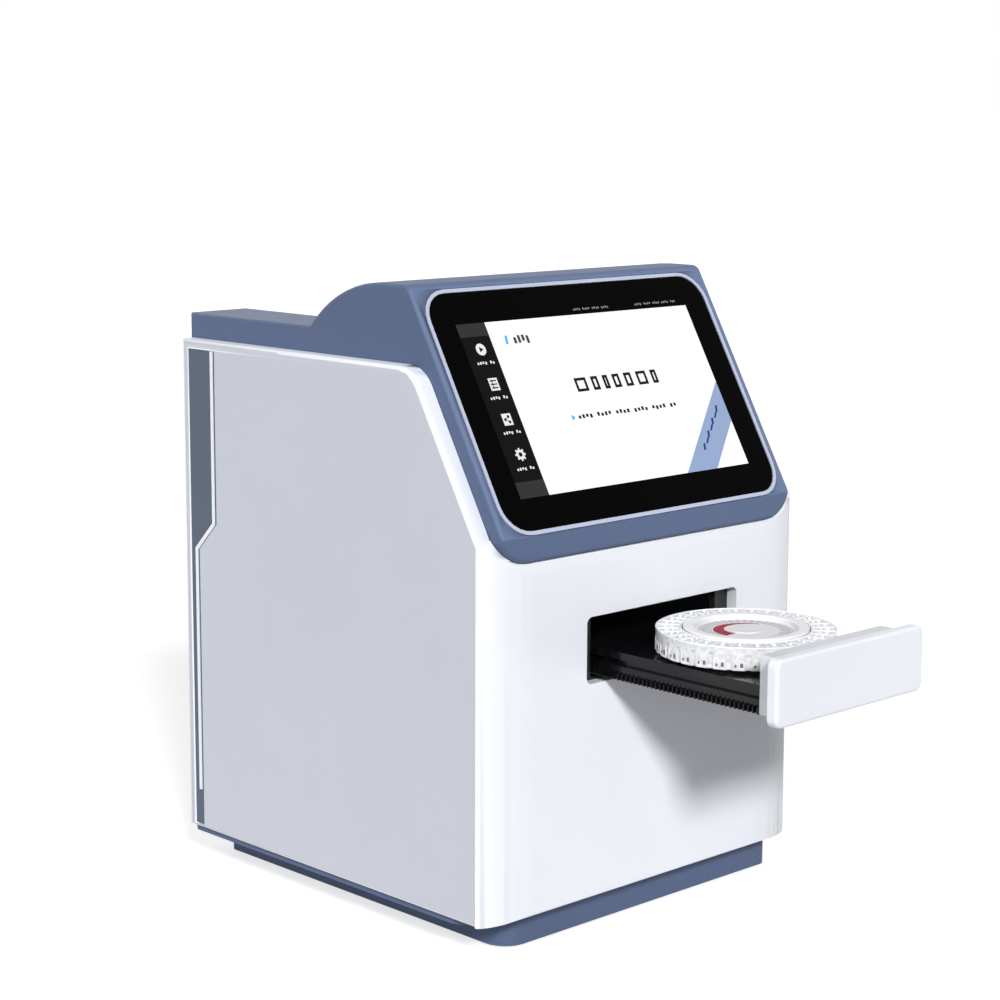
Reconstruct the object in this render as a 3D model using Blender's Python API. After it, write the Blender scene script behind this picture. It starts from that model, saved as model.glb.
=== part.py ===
"""Dry biochemistry analyzer: a bench cabinet with a sloping touch screen, a motor-driven
reagent drawer, a spindle and photometer behind it, and a receipt printer in the rear deck.

Metres, +Z up. Inside the cabinet frame X is across the machine, Y runs from the front seam
(0) to the rear, and Z is height above the table. The cabinet frame is an empty, shifted along
Y so that the world origin is the middle of the whole object's footprint, drawer out.
"""

from math import atan2, ceil, cos, pi, radians, sin, sqrt, tan

import bmesh
import bpy
from mathutils import Matrix, Vector

# Fits
SEAT_GAP = 0.0003
SLIDE_GAP = 0.0004
SHAFT_GAP = 0.00005

# White cabinet
BODY_WIDTH = 0.208
BODY_DEPTH = 0.2114
SHELL_BOTTOM = 0.0193
LEDGE_HEIGHT = 0.2616
LEDGE_WIDTH = 0.0085
LEDGE_BEND_RADIUS = 0.016
SLOPE_FOOT = 0.178
SLOPE_ANGLE = radians(60.1)
FRONT_CROWN = 0.007
CROWN_RUN = 0.033
BROW_RADIUS = 0.024
SHELL_WALL = 0.0025
SHELL_EDGE_RADIUS = 0.002
REAR_CORNER_RADIUS = 0.008
TONGUE_REACH = 0.005
TONGUE_WALL = 0.002

# Side inlay and its trim line
STRIP_REAR = 0.0094
STRIP_WIDTH = 0.0205
STRIP_FOOT_WIDTH = 0.0067
STRIP_TOP = 0.2575
STRIP_JOG_TOP = 0.174
STRIP_DEPTH = 0.0012
TRIM_INSET = 0.0014
TRIM_WIDTH = 0.0021
TRIM_BOTTOM = 0.039

# Plinth and feet
PLINTH_FRONT_INSET = 0.0074
PLINTH_SIDE_INSET = 0.0022
PLINTH_REAR_INSET = 0.0040
PLINTH_UNDERCUT = 0.0250
PLINTH_FLANGE = 0.0026
PLINTH_NEAR_RADIUS = 0.012
PLINTH_CORNER_RADIUS = 0.004
PLINTH_WALL = 0.0025
FOOT_RADIUS = 0.009
FOOT_HEIGHT = 0.0032
FOOT_PROUD = 0.0010
FOOT_INSET = 0.030
FOOT_BOSS = 0.0015

# Slate hood
HOOD_PROUD = 0.0069
HOOD_LIP = 0.0005
HOOD_CORNER_RADIUS = 0.016
HOOD_SINK = 0.004
HOOD_WALL = 0.0032
HOOD_TOP = 0.296
HOOD_BROW_RADIUS = 0.005
HOOD_EDGE_RADIUS = 0.002
HOOD_CROWN_END = 0.070
HOOD_BACK_RADIUS = 0.068
DECK_HEIGHT = 0.2735
BAY_WIDTH = 0.123
BAY_LENGTH = 0.0834
BAY_WALL = 0.003

# Display
GLASS_SIDE_MARGIN = 0.006
GLASS_HEIGHT = 0.1134
GLASS_RADIUS = 0.013
GLASS_THICKNESS = 0.0015
GLASS_RISE = 0.0700
RIM_WIDTH = 0.0018
RIM_PROUD = 0.0003
RIM_DEPTH = 0.0019
PANEL_MARGIN = 0.007
PANEL_DEPTH = 0.0055
POST_LENGTH = 0.006
POST_RADIUS = 0.003
BOARD_THICKNESS = 0.0016

# Drawer opening
DRAWER_X = 0.0079
OPENING_HEIGHT = 0.0306
OPENING_CENTRE = 0.1343
OPENING_RADIUS = 0.003
OPENING_DEPTH = 0.0058
COLLAR_WALL = 0.002
BEZEL_LEDGE = 0.0083
BEZEL_SILL = 0.0008
BEZEL_DEPTH = 0.0035

# Drawer
DRAWER_TRAVEL = 0.1085
FRONT_MARGIN = 0.0005
FRONT_SINK = 0.0002
FRONT_THICKNESS = 0.0052
FRONT_RADIUS = 0.004
FRONT_EDGE = 0.0015
BLOCK_CLEAR = 0.0005
BLOCK_DEPTH = 0.0107
BLOCK_HEADROOM = 0.003
TRAY_WITHIN = 0.0004
TRAY_CLEAR = 0.0017
TRAY_DEPTH = 0.0124
TRAY_FLOOR = 0.0026
TRAY_BEAM = 0.0056
TRAY_LENGTH = 0.1389
GROOVE_DEPTH = 0.002
GROOVE_RISE = 0.0061
GROOVE_HEIGHT = 0.0029
TRAY_HOLE_RADIUS = 0.017
SUPPORT_RING_WIDTH = 0.002
SUPPORT_RING_HEIGHT = 0.001

# Rack and pinion
GEAR_MODULE = 0.0008
PINION_TEETH = 20
PRESSURE_ANGLE = radians(20)
GEAR_BACKLASH = 0.00016
RACK_FACE = 0.003
PINION_Y = 0.022
PINION_FACE = 0.0036
MOTOR_SHAFT_RADIUS = 0.002
MOTOR_BOSS_RADIUS = 0.005
MOTOR_SHAFT_DEPTH = 0.016

# Reagent disc
DISC_RADIUS = 0.040
DISC_HEIGHT = 0.0103
DISC_WELL_RADIUS = 0.0285
DISC_FLOOR = 0.0066
DISC_BORE_RADIUS = 0.006
CUVETTES = 30
CUVETTE_GAP = 0.0022
CUVETTE_DEPTH = 0.0052
CUVETTE_HEIGHT = 0.0072
COVER_RADIUS = 0.028
COVER_RECESS_RADIUS = 0.023
COVER_HEIGHT = 0.0044
COVER_RECESS = 0.0028
LABEL_RADIUS = 0.0215
LABEL_THICKNESS = 0.0004
DISC_SETBACK = 0.0029
DISC_SIDE_CLEAR = 0.0022

# Mechanism
SHEET = 0.0015
DECK_DROP = 0.015
DECK_MARGIN = 0.0031
DECK_FRONT = 0.011
DECK_REAR_SPACE = 0.0484
DECK_FOOT = 0.012
RAIL_SHORTER = 0.003
RAIL_FLANGE = 0.006
RAIL_WALL = 0.002
RAIL_CLEAR = 0.0018
SPINDLE_HUB_RADIUS = 0.010
SPINDLE_CLEAR = 0.0009
SPINDLE_MOTOR_RADIUS = 0.018
SPINDLE_MOTOR_HEIGHT = 0.022
DRIVE_MOTOR_WIDTH = 0.028
DRIVE_MOTOR_HEIGHT = 0.026
PHOTOMETER_WIDTH = 0.017
PHOTOMETER_RISE = 0.0225
PHOTOMETER_SPINE = 0.010
PHOTOMETER_CLEAR = 0.003

# Printer in the rear deck
LID_DROP = 0.0065
LID_THICKNESS = 0.003
LID_SETBACK = 0.013
TUB_WALL = 0.002
TUB_DEPTH = 0.0495
PAPER_RADIUS = 0.022
PAPER_WIDTH = 0.057
PAPER_CORE_RADIUS = 0.006
PLATEN_RADIUS = 0.0045
HEAD_DEPTH = 0.008
HINGE_RADIUS = 0.0022
BUTTON_WIDTH = 0.014
BUTTON_DEPTH = 0.006
BUTTON_PROUD = 0.0015
BUTTON_TRAVEL = 0.0012

# Rear side
REAR_PANEL_THICKNESS = 0.002
REAR_LAP = 0.0016
FAN_SIZE = 0.060
FAN_DEPTH = 0.015
FAN_X = -0.040
FAN_Z = 0.150
FAN_HUB_RADIUS = 0.013
FAN_BLADES = 7
FAN_TIP_GAP = 0.0012
SUPPLY_WIDTH = 0.078
SUPPLY_LENGTH = 0.110
SUPPLY_HEIGHT = 0.042
SUPPLY_FRONT = 0.036
INLET_SIDE_MARGIN = 0.0295
INLET_Z = 0.050
INLET_WIDTH = 0.0275
INLET_HEIGHT = 0.0200
INLET_DEPTH = 0.020
INLET_MOUTH_WIDTH = 0.023
INLET_MOUTH_HEIGHT = 0.0156
INLET_MOUTH_CORNER = 0.0048
INLET_MOUTH_DEPTH = 0.016
PIN_PITCH = 0.007
PIN_WIDTH = 0.002
PIN_HEIGHT = 0.004
SOCKET_FLANGE = 0.003
SOCKET_FLANGE_THICKNESS = 0.002
SOCKET_PROUD = 0.0012
SWITCH_Z = 0.085
SWITCH_WIDTH = 0.021
SWITCH_HEIGHT = 0.015
SWITCH_DEPTH = 0.014
SWITCH_WALL = 0.0014
ROCKER_TILT = radians(9)
ROCKER_RISE = 0.0062
ROCKER_DISH = 0.0045
PORTS_X = 0.030
PORTS_Z = 0.055
PORT_BLOCK_WIDTH = 0.052
PORT_BLOCK_HEIGHT = 0.0155
PORT_BLOCK_DEPTH = 0.016
PORT_PITCH = 0.0165
PORT_PLUG_DEPTH = 0.011
NETWORK_WIDTH = 0.0122
NETWORK_HEIGHT = 0.0112
DATA_WIDTH = 0.0131
DATA_HEIGHT = 0.0056

# Derived places
BODY_HALF = BODY_WIDTH / 2
HOOD_HALF = BODY_HALF - LEDGE_WIDTH
GLASS_WIDTH = 2 * (HOOD_HALF - GLASS_SIDE_MARGIN)
PANEL_WIDTH = GLASS_WIDTH - 2 * PANEL_MARGIN
PANEL_HEIGHT = GLASS_HEIGHT - 2 * PANEL_MARGIN
BAY_FRONT = BODY_DEPTH - BAY_LENGTH
LID_FRONT = BAY_FRONT + LID_SETBACK
DECK_LENGTH = BODY_DEPTH - DECK_FRONT - DECK_REAR_SPACE
RAIL_LENGTH = DECK_LENGTH - RAIL_SHORTER
INLET_X = INLET_SIDE_MARGIN - HOOD_HALF
SLOPE_RUN = cos(SLOPE_ANGLE)
SLOPE_RISE = sin(SLOPE_ANGLE)
HOOD_BOTTOM = SLOPE_FOOT + 0.001
HOOD_FACE = -FRONT_CROWN - HOOD_LIP
BEZEL_WIDTH = 2 * (DISC_RADIUS + DISC_SIDE_CLEAR)
BEZEL_HEIGHT = OPENING_HEIGHT - 2 * BEZEL_SILL
OPENING_WIDTH = BEZEL_WIDTH + 2 * BEZEL_LEDGE
BLOCK_WIDTH = BEZEL_WIDTH - 2 * BLOCK_CLEAR
BLOCK_HEIGHT = BEZEL_HEIGHT - BLOCK_HEADROOM
TRAY_HALF = DISC_RADIUS - TRAY_WITHIN
TRAY_BOTTOM = OPENING_CENTRE - BEZEL_HEIGHT / 2 + TRAY_CLEAR
TRAY_TOP = TRAY_BOTTOM + TRAY_DEPTH
GROOVE_BOTTOM = TRAY_BOTTOM + GROOVE_RISE
COLLAR_END = -FRONT_CROWN + OPENING_DEPTH
BEZEL_FRONT = COLLAR_END + SEAT_GAP
FRONT_CLOSED = -FRONT_CROWN + FRONT_SINK
FRONT_OPEN = FRONT_CLOSED - DRAWER_TRAVEL
BLOCK_FRONT = FRONT_OPEN + FRONT_THICKNESS + SEAT_GAP
BLOCK_REAR = BLOCK_FRONT + BLOCK_DEPTH
TRAY_FRONT = BLOCK_REAR + SEAT_GAP
TRAY_REAR = TRAY_FRONT + TRAY_LENGTH
DISC_Y = TRAY_FRONT + DISC_SETBACK + DISC_RADIUS
DISC_BOTTOM = TRAY_TOP + SUPPORT_RING_HEIGHT + SEAT_GAP
DISC_TOP = DISC_BOTTOM + DISC_HEIGHT
PHOTOMETER_TOP = DISC_TOP + PHOTOMETER_RISE
SPINDLE_Y = DISC_Y + DRAWER_TRAVEL
DECK_TOP = TRAY_BOTTOM - DECK_DROP
DECK_UNDERSIDE = DECK_TOP - SHEET
CHASSIS_TOP = SHELL_BOTTOM + SHEET
PITCH_RADIUS = GEAR_MODULE * PINION_TEETH / 2
RACK_TIP = TRAY_HALF + 2 * GEAR_MODULE
RACK_PITCH_LINE = RACK_TIP - GEAR_MODULE
DECK_HALF = DRAWER_X + RACK_TIP + RAIL_CLEAR + RAIL_WALL + RAIL_FLANGE + DECK_MARGIN
PINION_X = DRAWER_X - RACK_PITCH_LINE - PITCH_RADIUS
LID_TOP = DECK_HEIGHT - LID_DROP
LID_BOTTOM = LID_TOP - LID_THICKNESS
TUB_TOP = LID_BOTTOM - SEAT_GAP
REAR_PANEL_REAR = BODY_DEPTH - SHELL_WALL - SEAT_GAP
REAR_PANEL_FRONT = REAR_PANEL_REAR - REAR_PANEL_THICKNESS
REAR_PANEL_TOP = LEDGE_HEIGHT - HOOD_SINK - SEAT_GAP
LID_HINGE_Y = BODY_DEPTH - 0.0045
LID_HINGE_Z = LID_BOTTOM - HINGE_RADIUS + LID_THICKNESS / 2
ORIGIN_SHIFT = -(FRONT_OPEN + BODY_DEPTH) / 2
SCREEN_FRAME = Matrix((
    (1, 0, 0, 0),
    (0, SLOPE_RUN, -SLOPE_RISE, -FRONT_CROWN),
    (0, SLOPE_RISE, SLOPE_RUN, SLOPE_FOOT),
    (0, 0, 0, 1),
))

WHITE = (0.84, 0.86, 0.90)
SILVER_WHITE = (0.70, 0.72, 0.77)
SLATE = (0.13, 0.17, 0.27)
DARK_SLATE = (0.09, 0.12, 0.18)
BLACK = (0.012, 0.012, 0.014)
DARK_GREY = (0.045, 0.045, 0.05)
STEEL = (0.55, 0.56, 0.58)
CLEAR = (0.80, 0.83, 0.86)
BOARD_GREEN = (0.02, 0.16, 0.07)
PAPER_WHITE = (0.88, 0.88, 0.86)
RUBBER_BLACK = (0.02, 0.02, 0.02)


def clear_scene():
    for item in list(bpy.data.objects):
        bpy.data.objects.remove(item, do_unlink=True)


def look(name, colour, roughness, metallic=0.0, alpha=1.0):
    """Principled material of one moulded, pressed or turned piece."""
    material = bpy.data.materials.new(name)
    material.use_nodes = True
    shader = material.node_tree.nodes["Principled BSDF"]
    shader.inputs["Base Color"].default_value = (*colour, 1.0)
    shader.inputs["Roughness"].default_value = roughness
    shader.inputs["Metallic"].default_value = metallic
    shader.inputs["Alpha"].default_value = alpha
    return material


def place(axis, a, b, along):
    """3-D point of the outline point (a, b) at a distance along the axis across it."""
    if axis == "x":
        return Vector((along, a, b))
    if axis == "y":
        return Vector((a, along, b))
    return Vector((a, b, along))


def add_prism(bm, outline, axis, low, high):
    base = bm.faces.new([bm.verts.new(place(axis, a, b, low)) for a, b in outline])
    raised = bmesh.ops.extrude_face_region(bm, geom=[base])["geom"]
    top = [item for item in raised if isinstance(item, bmesh.types.BMVert)]
    bmesh.ops.translate(bm, verts=top, vec=place(axis, 0, 0, high) - place(axis, 0, 0, low))


def prism(outline, axis, low, high):
    bm = bmesh.new()
    add_prism(bm, outline, axis, low, high)
    return bm


def add_box(bm, low, high):
    outline = [(low[0], low[1]), (high[0], low[1]), (high[0], high[1]), (low[0], high[1])]
    add_prism(bm, outline, "z", low[2], high[2])


def box(low, high):
    bm = bmesh.new()
    add_box(bm, low, high)
    return bm


def circle(a, b, radius, steps=32, start=0.0):
    return [(a + radius * cos(start + 2 * pi * step / steps),
             b + radius * sin(start + 2 * pi * step / steps)) for step in range(steps)]


def rounded(corners, steps=5):
    """Closed outline through corners (a, b, radius), each radius drawn as an arc."""
    points = []
    for index, (a, b, radius) in enumerate(corners):
        if radius <= 0:
            points.append((a, b))
            continue
        corner = Vector((a, b))
        before = (Vector(corners[index - 1][:2]) - corner).normalized()
        after = (Vector(corners[(index + 1) % len(corners)][:2]) - corner).normalized()
        half = before.angle(after) / 2
        centre = corner + (before + after).normalized() * radius / sin(half)
        spoke = corner + before * radius / tan(half) - centre
        last = corner + after * radius / tan(half) - centre
        turn = atan2(spoke.x * last.y - spoke.y * last.x, spoke.dot(last))
        begin = atan2(spoke.y, spoke.x)
        for step in range(steps + 1):
            angle = begin + turn * step / steps
            points.append((centre.x + radius * cos(angle), centre.y + radius * sin(angle)))
    return points


def rounded_rectangle(centre_a, centre_b, width, height, radius, steps=5):
    a, b = width / 2, height / 2
    return rounded([(centre_a - a, centre_b - b, radius), (centre_a + a, centre_b - b, radius),
                    (centre_a + a, centre_b + b, radius), (centre_a - a, centre_b + b, radius)],
                   steps)


def add_turned(bm, profile, centre, axis="z", steps=32):
    """Turned solid: profile of (radius, along) pairs, closed or starting and ending on the axis."""
    direction = place(axis, 0, 0, 1)
    across = place(axis, 1, 0, 0)
    origin = Vector(centre)
    verts = [bm.verts.new(origin + across * radius + direction * along)
             for radius, along in profile]
    pairs = list(zip(verts, verts[1:]))
    if profile[0][0] > 0:
        pairs.append((verts[-1], verts[0]))
    edges = [bm.edges.new(pair) for pair in pairs]
    bmesh.ops.spin(bm, geom=verts + edges, cent=origin, axis=direction, angle=2 * pi,
                   steps=steps, use_merge=True)
    bmesh.ops.remove_doubles(bm, verts=bm.verts, dist=1e-7)


def turned(profile, centre, axis="z", steps=32):
    bm = bmesh.new()
    add_turned(bm, profile, centre, axis, steps)
    return bm


def mesh_from(bm, name):
    bmesh.ops.recalc_face_normals(bm, faces=bm.faces)
    mesh = bpy.data.meshes.new(name)
    bm.to_mesh(mesh)
    bm.free()
    return mesh


def piece(name, bm, material, origin=(0, 0, 0)):
    """Named object of the cabinet, its origin on its seat or joint axis."""
    bmesh.ops.translate(bm, verts=bm.verts, vec=-Vector(origin))
    mesh = mesh_from(bm, name)
    mesh.shade_smooth()
    mesh.set_sharp_from_angle(angle=radians(32))
    obj = bpy.data.objects.new(name, mesh)
    bpy.context.collection.objects.link(obj)
    obj.data.materials.append(material)
    obj.location = origin
    obj.parent = bpy.data.objects["cabinet_frame"]
    return obj


def guide(bm):
    """Wire object that only shapes its neighbours."""
    obj = bpy.data.objects.new("guide", mesh_from(bm, "guide"))
    bpy.context.collection.objects.link(obj)
    obj.parent = bpy.data.objects["cabinet_frame"]
    obj.hide_render = True
    obj.display_type = "WIRE"
    return obj


def shape(obj, operation, bm):
    """Cuts, joins or trims a piece with a closed mesh, and returns the guide used."""
    tool = guide(bm)
    modifier = obj.modifiers.new(operation.lower(), "BOOLEAN")
    modifier.operation = operation
    modifier.object = tool
    return tool


def cut(obj, bm):
    return shape(obj, "DIFFERENCE", bm)


def join(obj, bm):
    return shape(obj, "UNION", bm)


def trim(obj, bm):
    return shape(obj, "INTERSECT", bm)


def settled(obj):
    """Editable copy of a piece's shape after its modifiers, which are then removed."""
    bpy.context.view_layer.update()
    result = bpy.data.meshes.new_from_object(
        obj.evaluated_get(bpy.context.evaluated_depsgraph_get()))
    bm = bmesh.new()
    bm.from_mesh(result)
    obj.modifiers.clear()
    return bm


def replace_shape(obj, bm):
    bmesh.ops.recalc_face_normals(bm, faces=bm.faces)
    bm.to_mesh(obj.data)
    bm.free()
    obj.data.shade_smooth()
    obj.data.set_sharp_from_angle(angle=radians(32))


def slope_height(y, depth=0.0):
    """Height at y of the slope, sunk by a depth square to it."""
    return SLOPE_FOOT + (y + FRONT_CROWN) * tan(SLOPE_ANGLE) - depth / SLOPE_RUN


def slope_depth(height, depth=0.0):
    """The y at which the slope, sunk by a depth square to it, reaches a height."""
    return -FRONT_CROWN + (height + depth / SLOPE_RUN - SLOPE_FOOT) / tan(SLOPE_ANGLE)


def crown_at(x):
    """How far the front bulges ahead of the seam at a distance x from the middle."""
    reach = (abs(x) - (BODY_HALF - CROWN_RUN)) / CROWN_RUN
    if reach <= 0:
        return FRONT_CROWN
    return FRONT_CROWN * sqrt(max(0.0, 1 - reach * reach))


def crowned_front(limit, inset, steps=9):
    """Front line seen from above, left to right, set back by a wall."""
    swing = min(1.0, (limit - BODY_HALF + CROWN_RUN) / CROWN_RUN)
    last = atan2(swing, sqrt(max(0.0, 1 - swing * swing)))
    side = [BODY_HALF - CROWN_RUN + CROWN_RUN * sin(last * step / steps)
            for step in range(steps, -1, -1)]
    return ([(-x, inset - crown_at(x)) for x in side]
            + [(x, inset - crown_at(x)) for x in reversed(side)])


def hood_front_outline(grow):
    """Hood seen from the front: straight sides and rounded lower corners."""
    half = HOOD_HALF + grow
    low = HOOD_BOTTOM - grow
    run = HOOD_CORNER_RADIUS + grow
    rise = HOOD_CORNER_RADIUS * SLOPE_RISE + grow
    steps = 6
    right = [(half - run + run * sin(pi / 2 * step / steps),
              low + rise - rise * cos(pi / 2 * step / steps)) for step in range(steps + 1)]
    left = [(-x, z) for x, z in reversed(right)]
    top = HOOD_TOP + 0.02
    return left + right + [(half, top), (-half, top)]


def opening_outline(margin):
    return rounded_rectangle(DRAWER_X, OPENING_CENTRE, OPENING_WIDTH + 2 * margin,
                             OPENING_HEIGHT + 2 * margin, OPENING_RADIUS + max(margin, 0.0))


def front_shell():
    tongue_side = SHELL_WALL + SEAT_GAP
    tongue_half = BODY_HALF - tongue_side
    seam_top = slope_height(0)
    tongue_top = seam_top - tongue_side / SLOPE_RUN
    side_view = rounded([
        (-FRONT_CROWN, SHELL_BOTTOM, SHELL_EDGE_RADIUS), (0, SHELL_BOTTOM, 0),
        (0, SHELL_BOTTOM + tongue_side, 0), (TONGUE_REACH, SHELL_BOTTOM + tongue_side, 0),
        (TONGUE_REACH, tongue_top, 0), (0, tongue_top, 0), (0, seam_top, 0),
        (-FRONT_CROWN, SLOPE_FOOT, BROW_RADIUS)])
    shell = piece("front_shell", prism(side_view, "x", -BODY_HALF, BODY_HALF),
                  look("front_shell", WHITE, 0.35))
    plan = crowned_front(BODY_HALF, 0) + [
        (tongue_half, 0), (tongue_half, TONGUE_REACH), (-tongue_half, TONGUE_REACH),
        (-tongue_half, 0)]
    trim(shell, prism(plan, "z", 0, HOOD_TOP))
    cut(shell, prism(hood_front_outline(SEAT_GAP), "y", -0.03, 0.03))
    inner_half = tongue_half - TONGUE_WALL
    pocket_plan = crowned_front(inner_half, SHELL_WALL) + [
        (inner_half, TONGUE_REACH + 0.001), (-inner_half, TONGUE_REACH + 0.001)]
    pocket = cut(shell, prism(pocket_plan, "z", SHELL_BOTTOM + tongue_side + TONGUE_WALL,
                              HOOD_BOTTOM - 2 * SHELL_WALL))
    cut(pocket, prism(opening_outline(COLLAR_WALL), "y", -0.03, COLLAR_END))
    cut(shell, prism(opening_outline(0), "y", -0.03, COLLAR_END + 0.001))


def drawer_bezel():
    outer = rounded_rectangle(DRAWER_X, OPENING_CENTRE, OPENING_WIDTH + 2 * COLLAR_WALL,
                              OPENING_HEIGHT + 2 * COLLAR_WALL, OPENING_RADIUS, 3)
    inner = rounded_rectangle(DRAWER_X, OPENING_CENTRE, BEZEL_WIDTH, BEZEL_HEIGHT, 0.0012, 3)
    bezel = piece("drawer_bezel", prism(outer, "y", BEZEL_FRONT, BEZEL_FRONT + BEZEL_DEPTH),
                  look("drawer_bezel", DARK_GREY, 0.5))
    cut(bezel, prism(inner, "y", BEZEL_FRONT - 0.002, BEZEL_FRONT + BEZEL_DEPTH + 0.002))


def cabinet_plan(inset):
    """Cabinet seen from above behind the seam, its rear corners rounded."""
    half = BODY_HALF - inset
    rear = BODY_DEPTH - inset
    radius = REAR_CORNER_RADIUS - inset
    return rounded([(-half, -0.02, 0), (half, -0.02, 0), (half, rear, radius),
                    (-half, rear, radius)], 6)


def panel_outline(inset, front):
    """Side panel seen from the side, set in by a wall."""
    top = LEDGE_HEIGHT - inset
    rear = BODY_DEPTH - inset
    low = SHELL_BOTTOM + inset
    return rounded([
        (front, low, 0), (rear, low, 0.004 - 1.4 * inset), (rear, top, 0.003 - inset),
        (slope_depth(top, inset), top, LEDGE_BEND_RADIUS - inset),
        (front, slope_height(front, inset), 0)])


def strip_outline(shrink):
    rear = BODY_DEPTH - STRIP_REAR - shrink
    wide = BODY_DEPTH - STRIP_REAR - STRIP_WIDTH + shrink
    narrow = BODY_DEPTH - STRIP_REAR - STRIP_FOOT_WIDTH + shrink
    low = SHELL_BOTTOM + SHELL_EDGE_RADIUS + shrink
    return [(rear, low), (rear, STRIP_TOP - shrink), (wide, STRIP_TOP - shrink),
            (wide, STRIP_JOG_TOP), (narrow, STRIP_JOG_TOP - (narrow - wide)), (narrow, low)]


def trim_outline(grow):
    """Bead that follows the front edge of the inlay, jog included."""
    wide = BODY_DEPTH - STRIP_REAR - STRIP_WIDTH + TRIM_INSET - grow
    narrow = BODY_DEPTH - STRIP_REAR - STRIP_FOOT_WIDTH + TRIM_INSET - grow
    width = TRIM_WIDTH + 2 * grow
    top = STRIP_TOP - SEAT_GAP + (0.005 if grow > 0 else 0.0)
    corner = STRIP_JOG_TOP - TRIM_INSET * (1 / tan(radians(67.5)))
    shift = width * tan(radians(22.5))
    drop = narrow - wide
    return [(wide, top), (wide, corner), (narrow, corner - drop), (narrow, TRIM_BOTTOM - grow),
            (narrow + width, TRIM_BOTTOM - grow), (narrow + width, corner - drop + shift),
            (wide + width, corner + shift), (wide + width, top)]


def side_panel(name, side):
    outer = side * BODY_HALF
    inner = side * (BODY_HALF - LEDGE_WIDTH + SEAT_GAP)
    bm = prism(panel_outline(0, SEAT_GAP), "x", outer, inner)
    rim = [edge for edge in bm.edges
           if all(abs(vert.co.x - outer) < 1e-6 for vert in edge.verts)
           and not all(abs(vert.co.y - SEAT_GAP) < 1e-6 for vert in edge.verts)]
    bmesh.ops.bevel(bm, geom=rim, offset=SHELL_EDGE_RADIUS, offset_type="OFFSET", segments=3,
                    profile=0.5, affect="EDGES", material=-1)
    panel = piece(name, bm, look(name, SILVER_WHITE, 0.4))
    trim(panel, prism(cabinet_plan(0), "z", 0, HOOD_TOP))
    pocket = cut(panel, prism(panel_outline(SHELL_WALL, -0.01), "x",
                              side * (BODY_HALF - SHELL_WALL), side * (HOOD_HALF - 0.002)))
    trim(pocket, prism(cabinet_plan(SHELL_WALL), "z", 0, HOOD_TOP))
    cut(panel, prism(strip_outline(0), "x", side * (BODY_HALF - STRIP_DEPTH),
                     side * (BODY_HALF + 0.001)))


def side_inlay(name, trim_name, side):
    bottom = side * (BODY_HALF - STRIP_DEPTH + SEAT_GAP)
    inlay = piece(name, prism(strip_outline(SEAT_GAP), "x", bottom,
                              side * (BODY_HALF - 0.0001)), look(name, DARK_SLATE, 0.45))
    cut(inlay, prism(trim_outline(SEAT_GAP), "x", side * (BODY_HALF - 0.003),
                     side * (BODY_HALF + 0.001)))
    piece(trim_name, prism(trim_outline(0), "x", bottom, side * BODY_HALF),
          look(trim_name, WHITE, 0.3))


def plinth_outline(left_inset, inset):
    left = left_inset + inset - BODY_HALF
    right = BODY_HALF - PLINTH_SIDE_INSET - inset
    front = PLINTH_FRONT_INSET + inset
    rear = BODY_DEPTH - PLINTH_REAR_INSET - inset
    radius = PLINTH_CORNER_RADIUS - inset
    return rounded([(left, front, PLINTH_NEAR_RADIUS - inset), (right, front, radius),
                    (right, rear, radius), (left, rear, radius)], 8)


def foot_places():
    across = BODY_HALF - PLINTH_UNDERCUT - PLINTH_WALL - FOOT_RADIUS - FOOT_BOSS
    front = PLINTH_FRONT_INSET + FOOT_INSET
    rear = BODY_DEPTH - PLINTH_REAR_INSET - FOOT_INSET
    return [(x, y) for y in (front, rear) for x in (-across, across)]


def base_plinth():
    """Skirt set far in on the left, under a thin flange that closes the cabinet's underside."""
    top = SHELL_BOTTOM - SEAT_GAP
    plinth = piece("base_plinth", prism(plinth_outline(PLINTH_UNDERCUT, 0), "z", FOOT_PROUD, top),
                   look("base_plinth", SLATE, 0.45))
    flange = plinth_outline(PLINTH_SIDE_INSET, SEAT_GAP)
    join(plinth, prism(flange, "z", top - PLINTH_FLANGE, top))
    floor = FOOT_PROUD + 2 * PLINTH_WALL
    cut(plinth, prism(plinth_outline(PLINTH_UNDERCUT, PLINTH_WALL), "z", floor, top + 0.01))
    sockets = bmesh.new()
    for x, y in foot_places():
        add_prism(sockets, circle(x, y, FOOT_RADIUS + SEAT_GAP, 24), "z", -0.01,
                  FOOT_HEIGHT + SEAT_GAP)
    cut(plinth, sockets)
    slots = bmesh.new()
    slot_pitch = 0.010
    for index in range(8):
        y = BODY_DEPTH / 2 + (index - 3.5) * slot_pitch
        for x in (-0.035, 0.035):
            add_prism(slots, rounded_rectangle(x, y, 0.044, 0.004, 0.0015, 1), "z",
                      FOOT_PROUD - 0.002, floor + 0.002)
    cut(plinth, slots)


def rubber_feet():
    edge = 0.0005
    profile = [(0, 0), (FOOT_RADIUS - edge, 0), (FOOT_RADIUS, edge), (FOOT_RADIUS, FOOT_HEIGHT),
               (0, FOOT_HEIGHT)]
    rubber = look("rubber_feet", RUBBER_BLACK, 0.85)
    names = ("front_left_foot", "front_right_foot", "rear_left_foot", "rear_right_foot")
    for name, (x, y) in zip(names, foot_places()):
        piece(name, turned(profile, (x, y, 0), steps=20), rubber, (x, y, 0))


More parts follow.
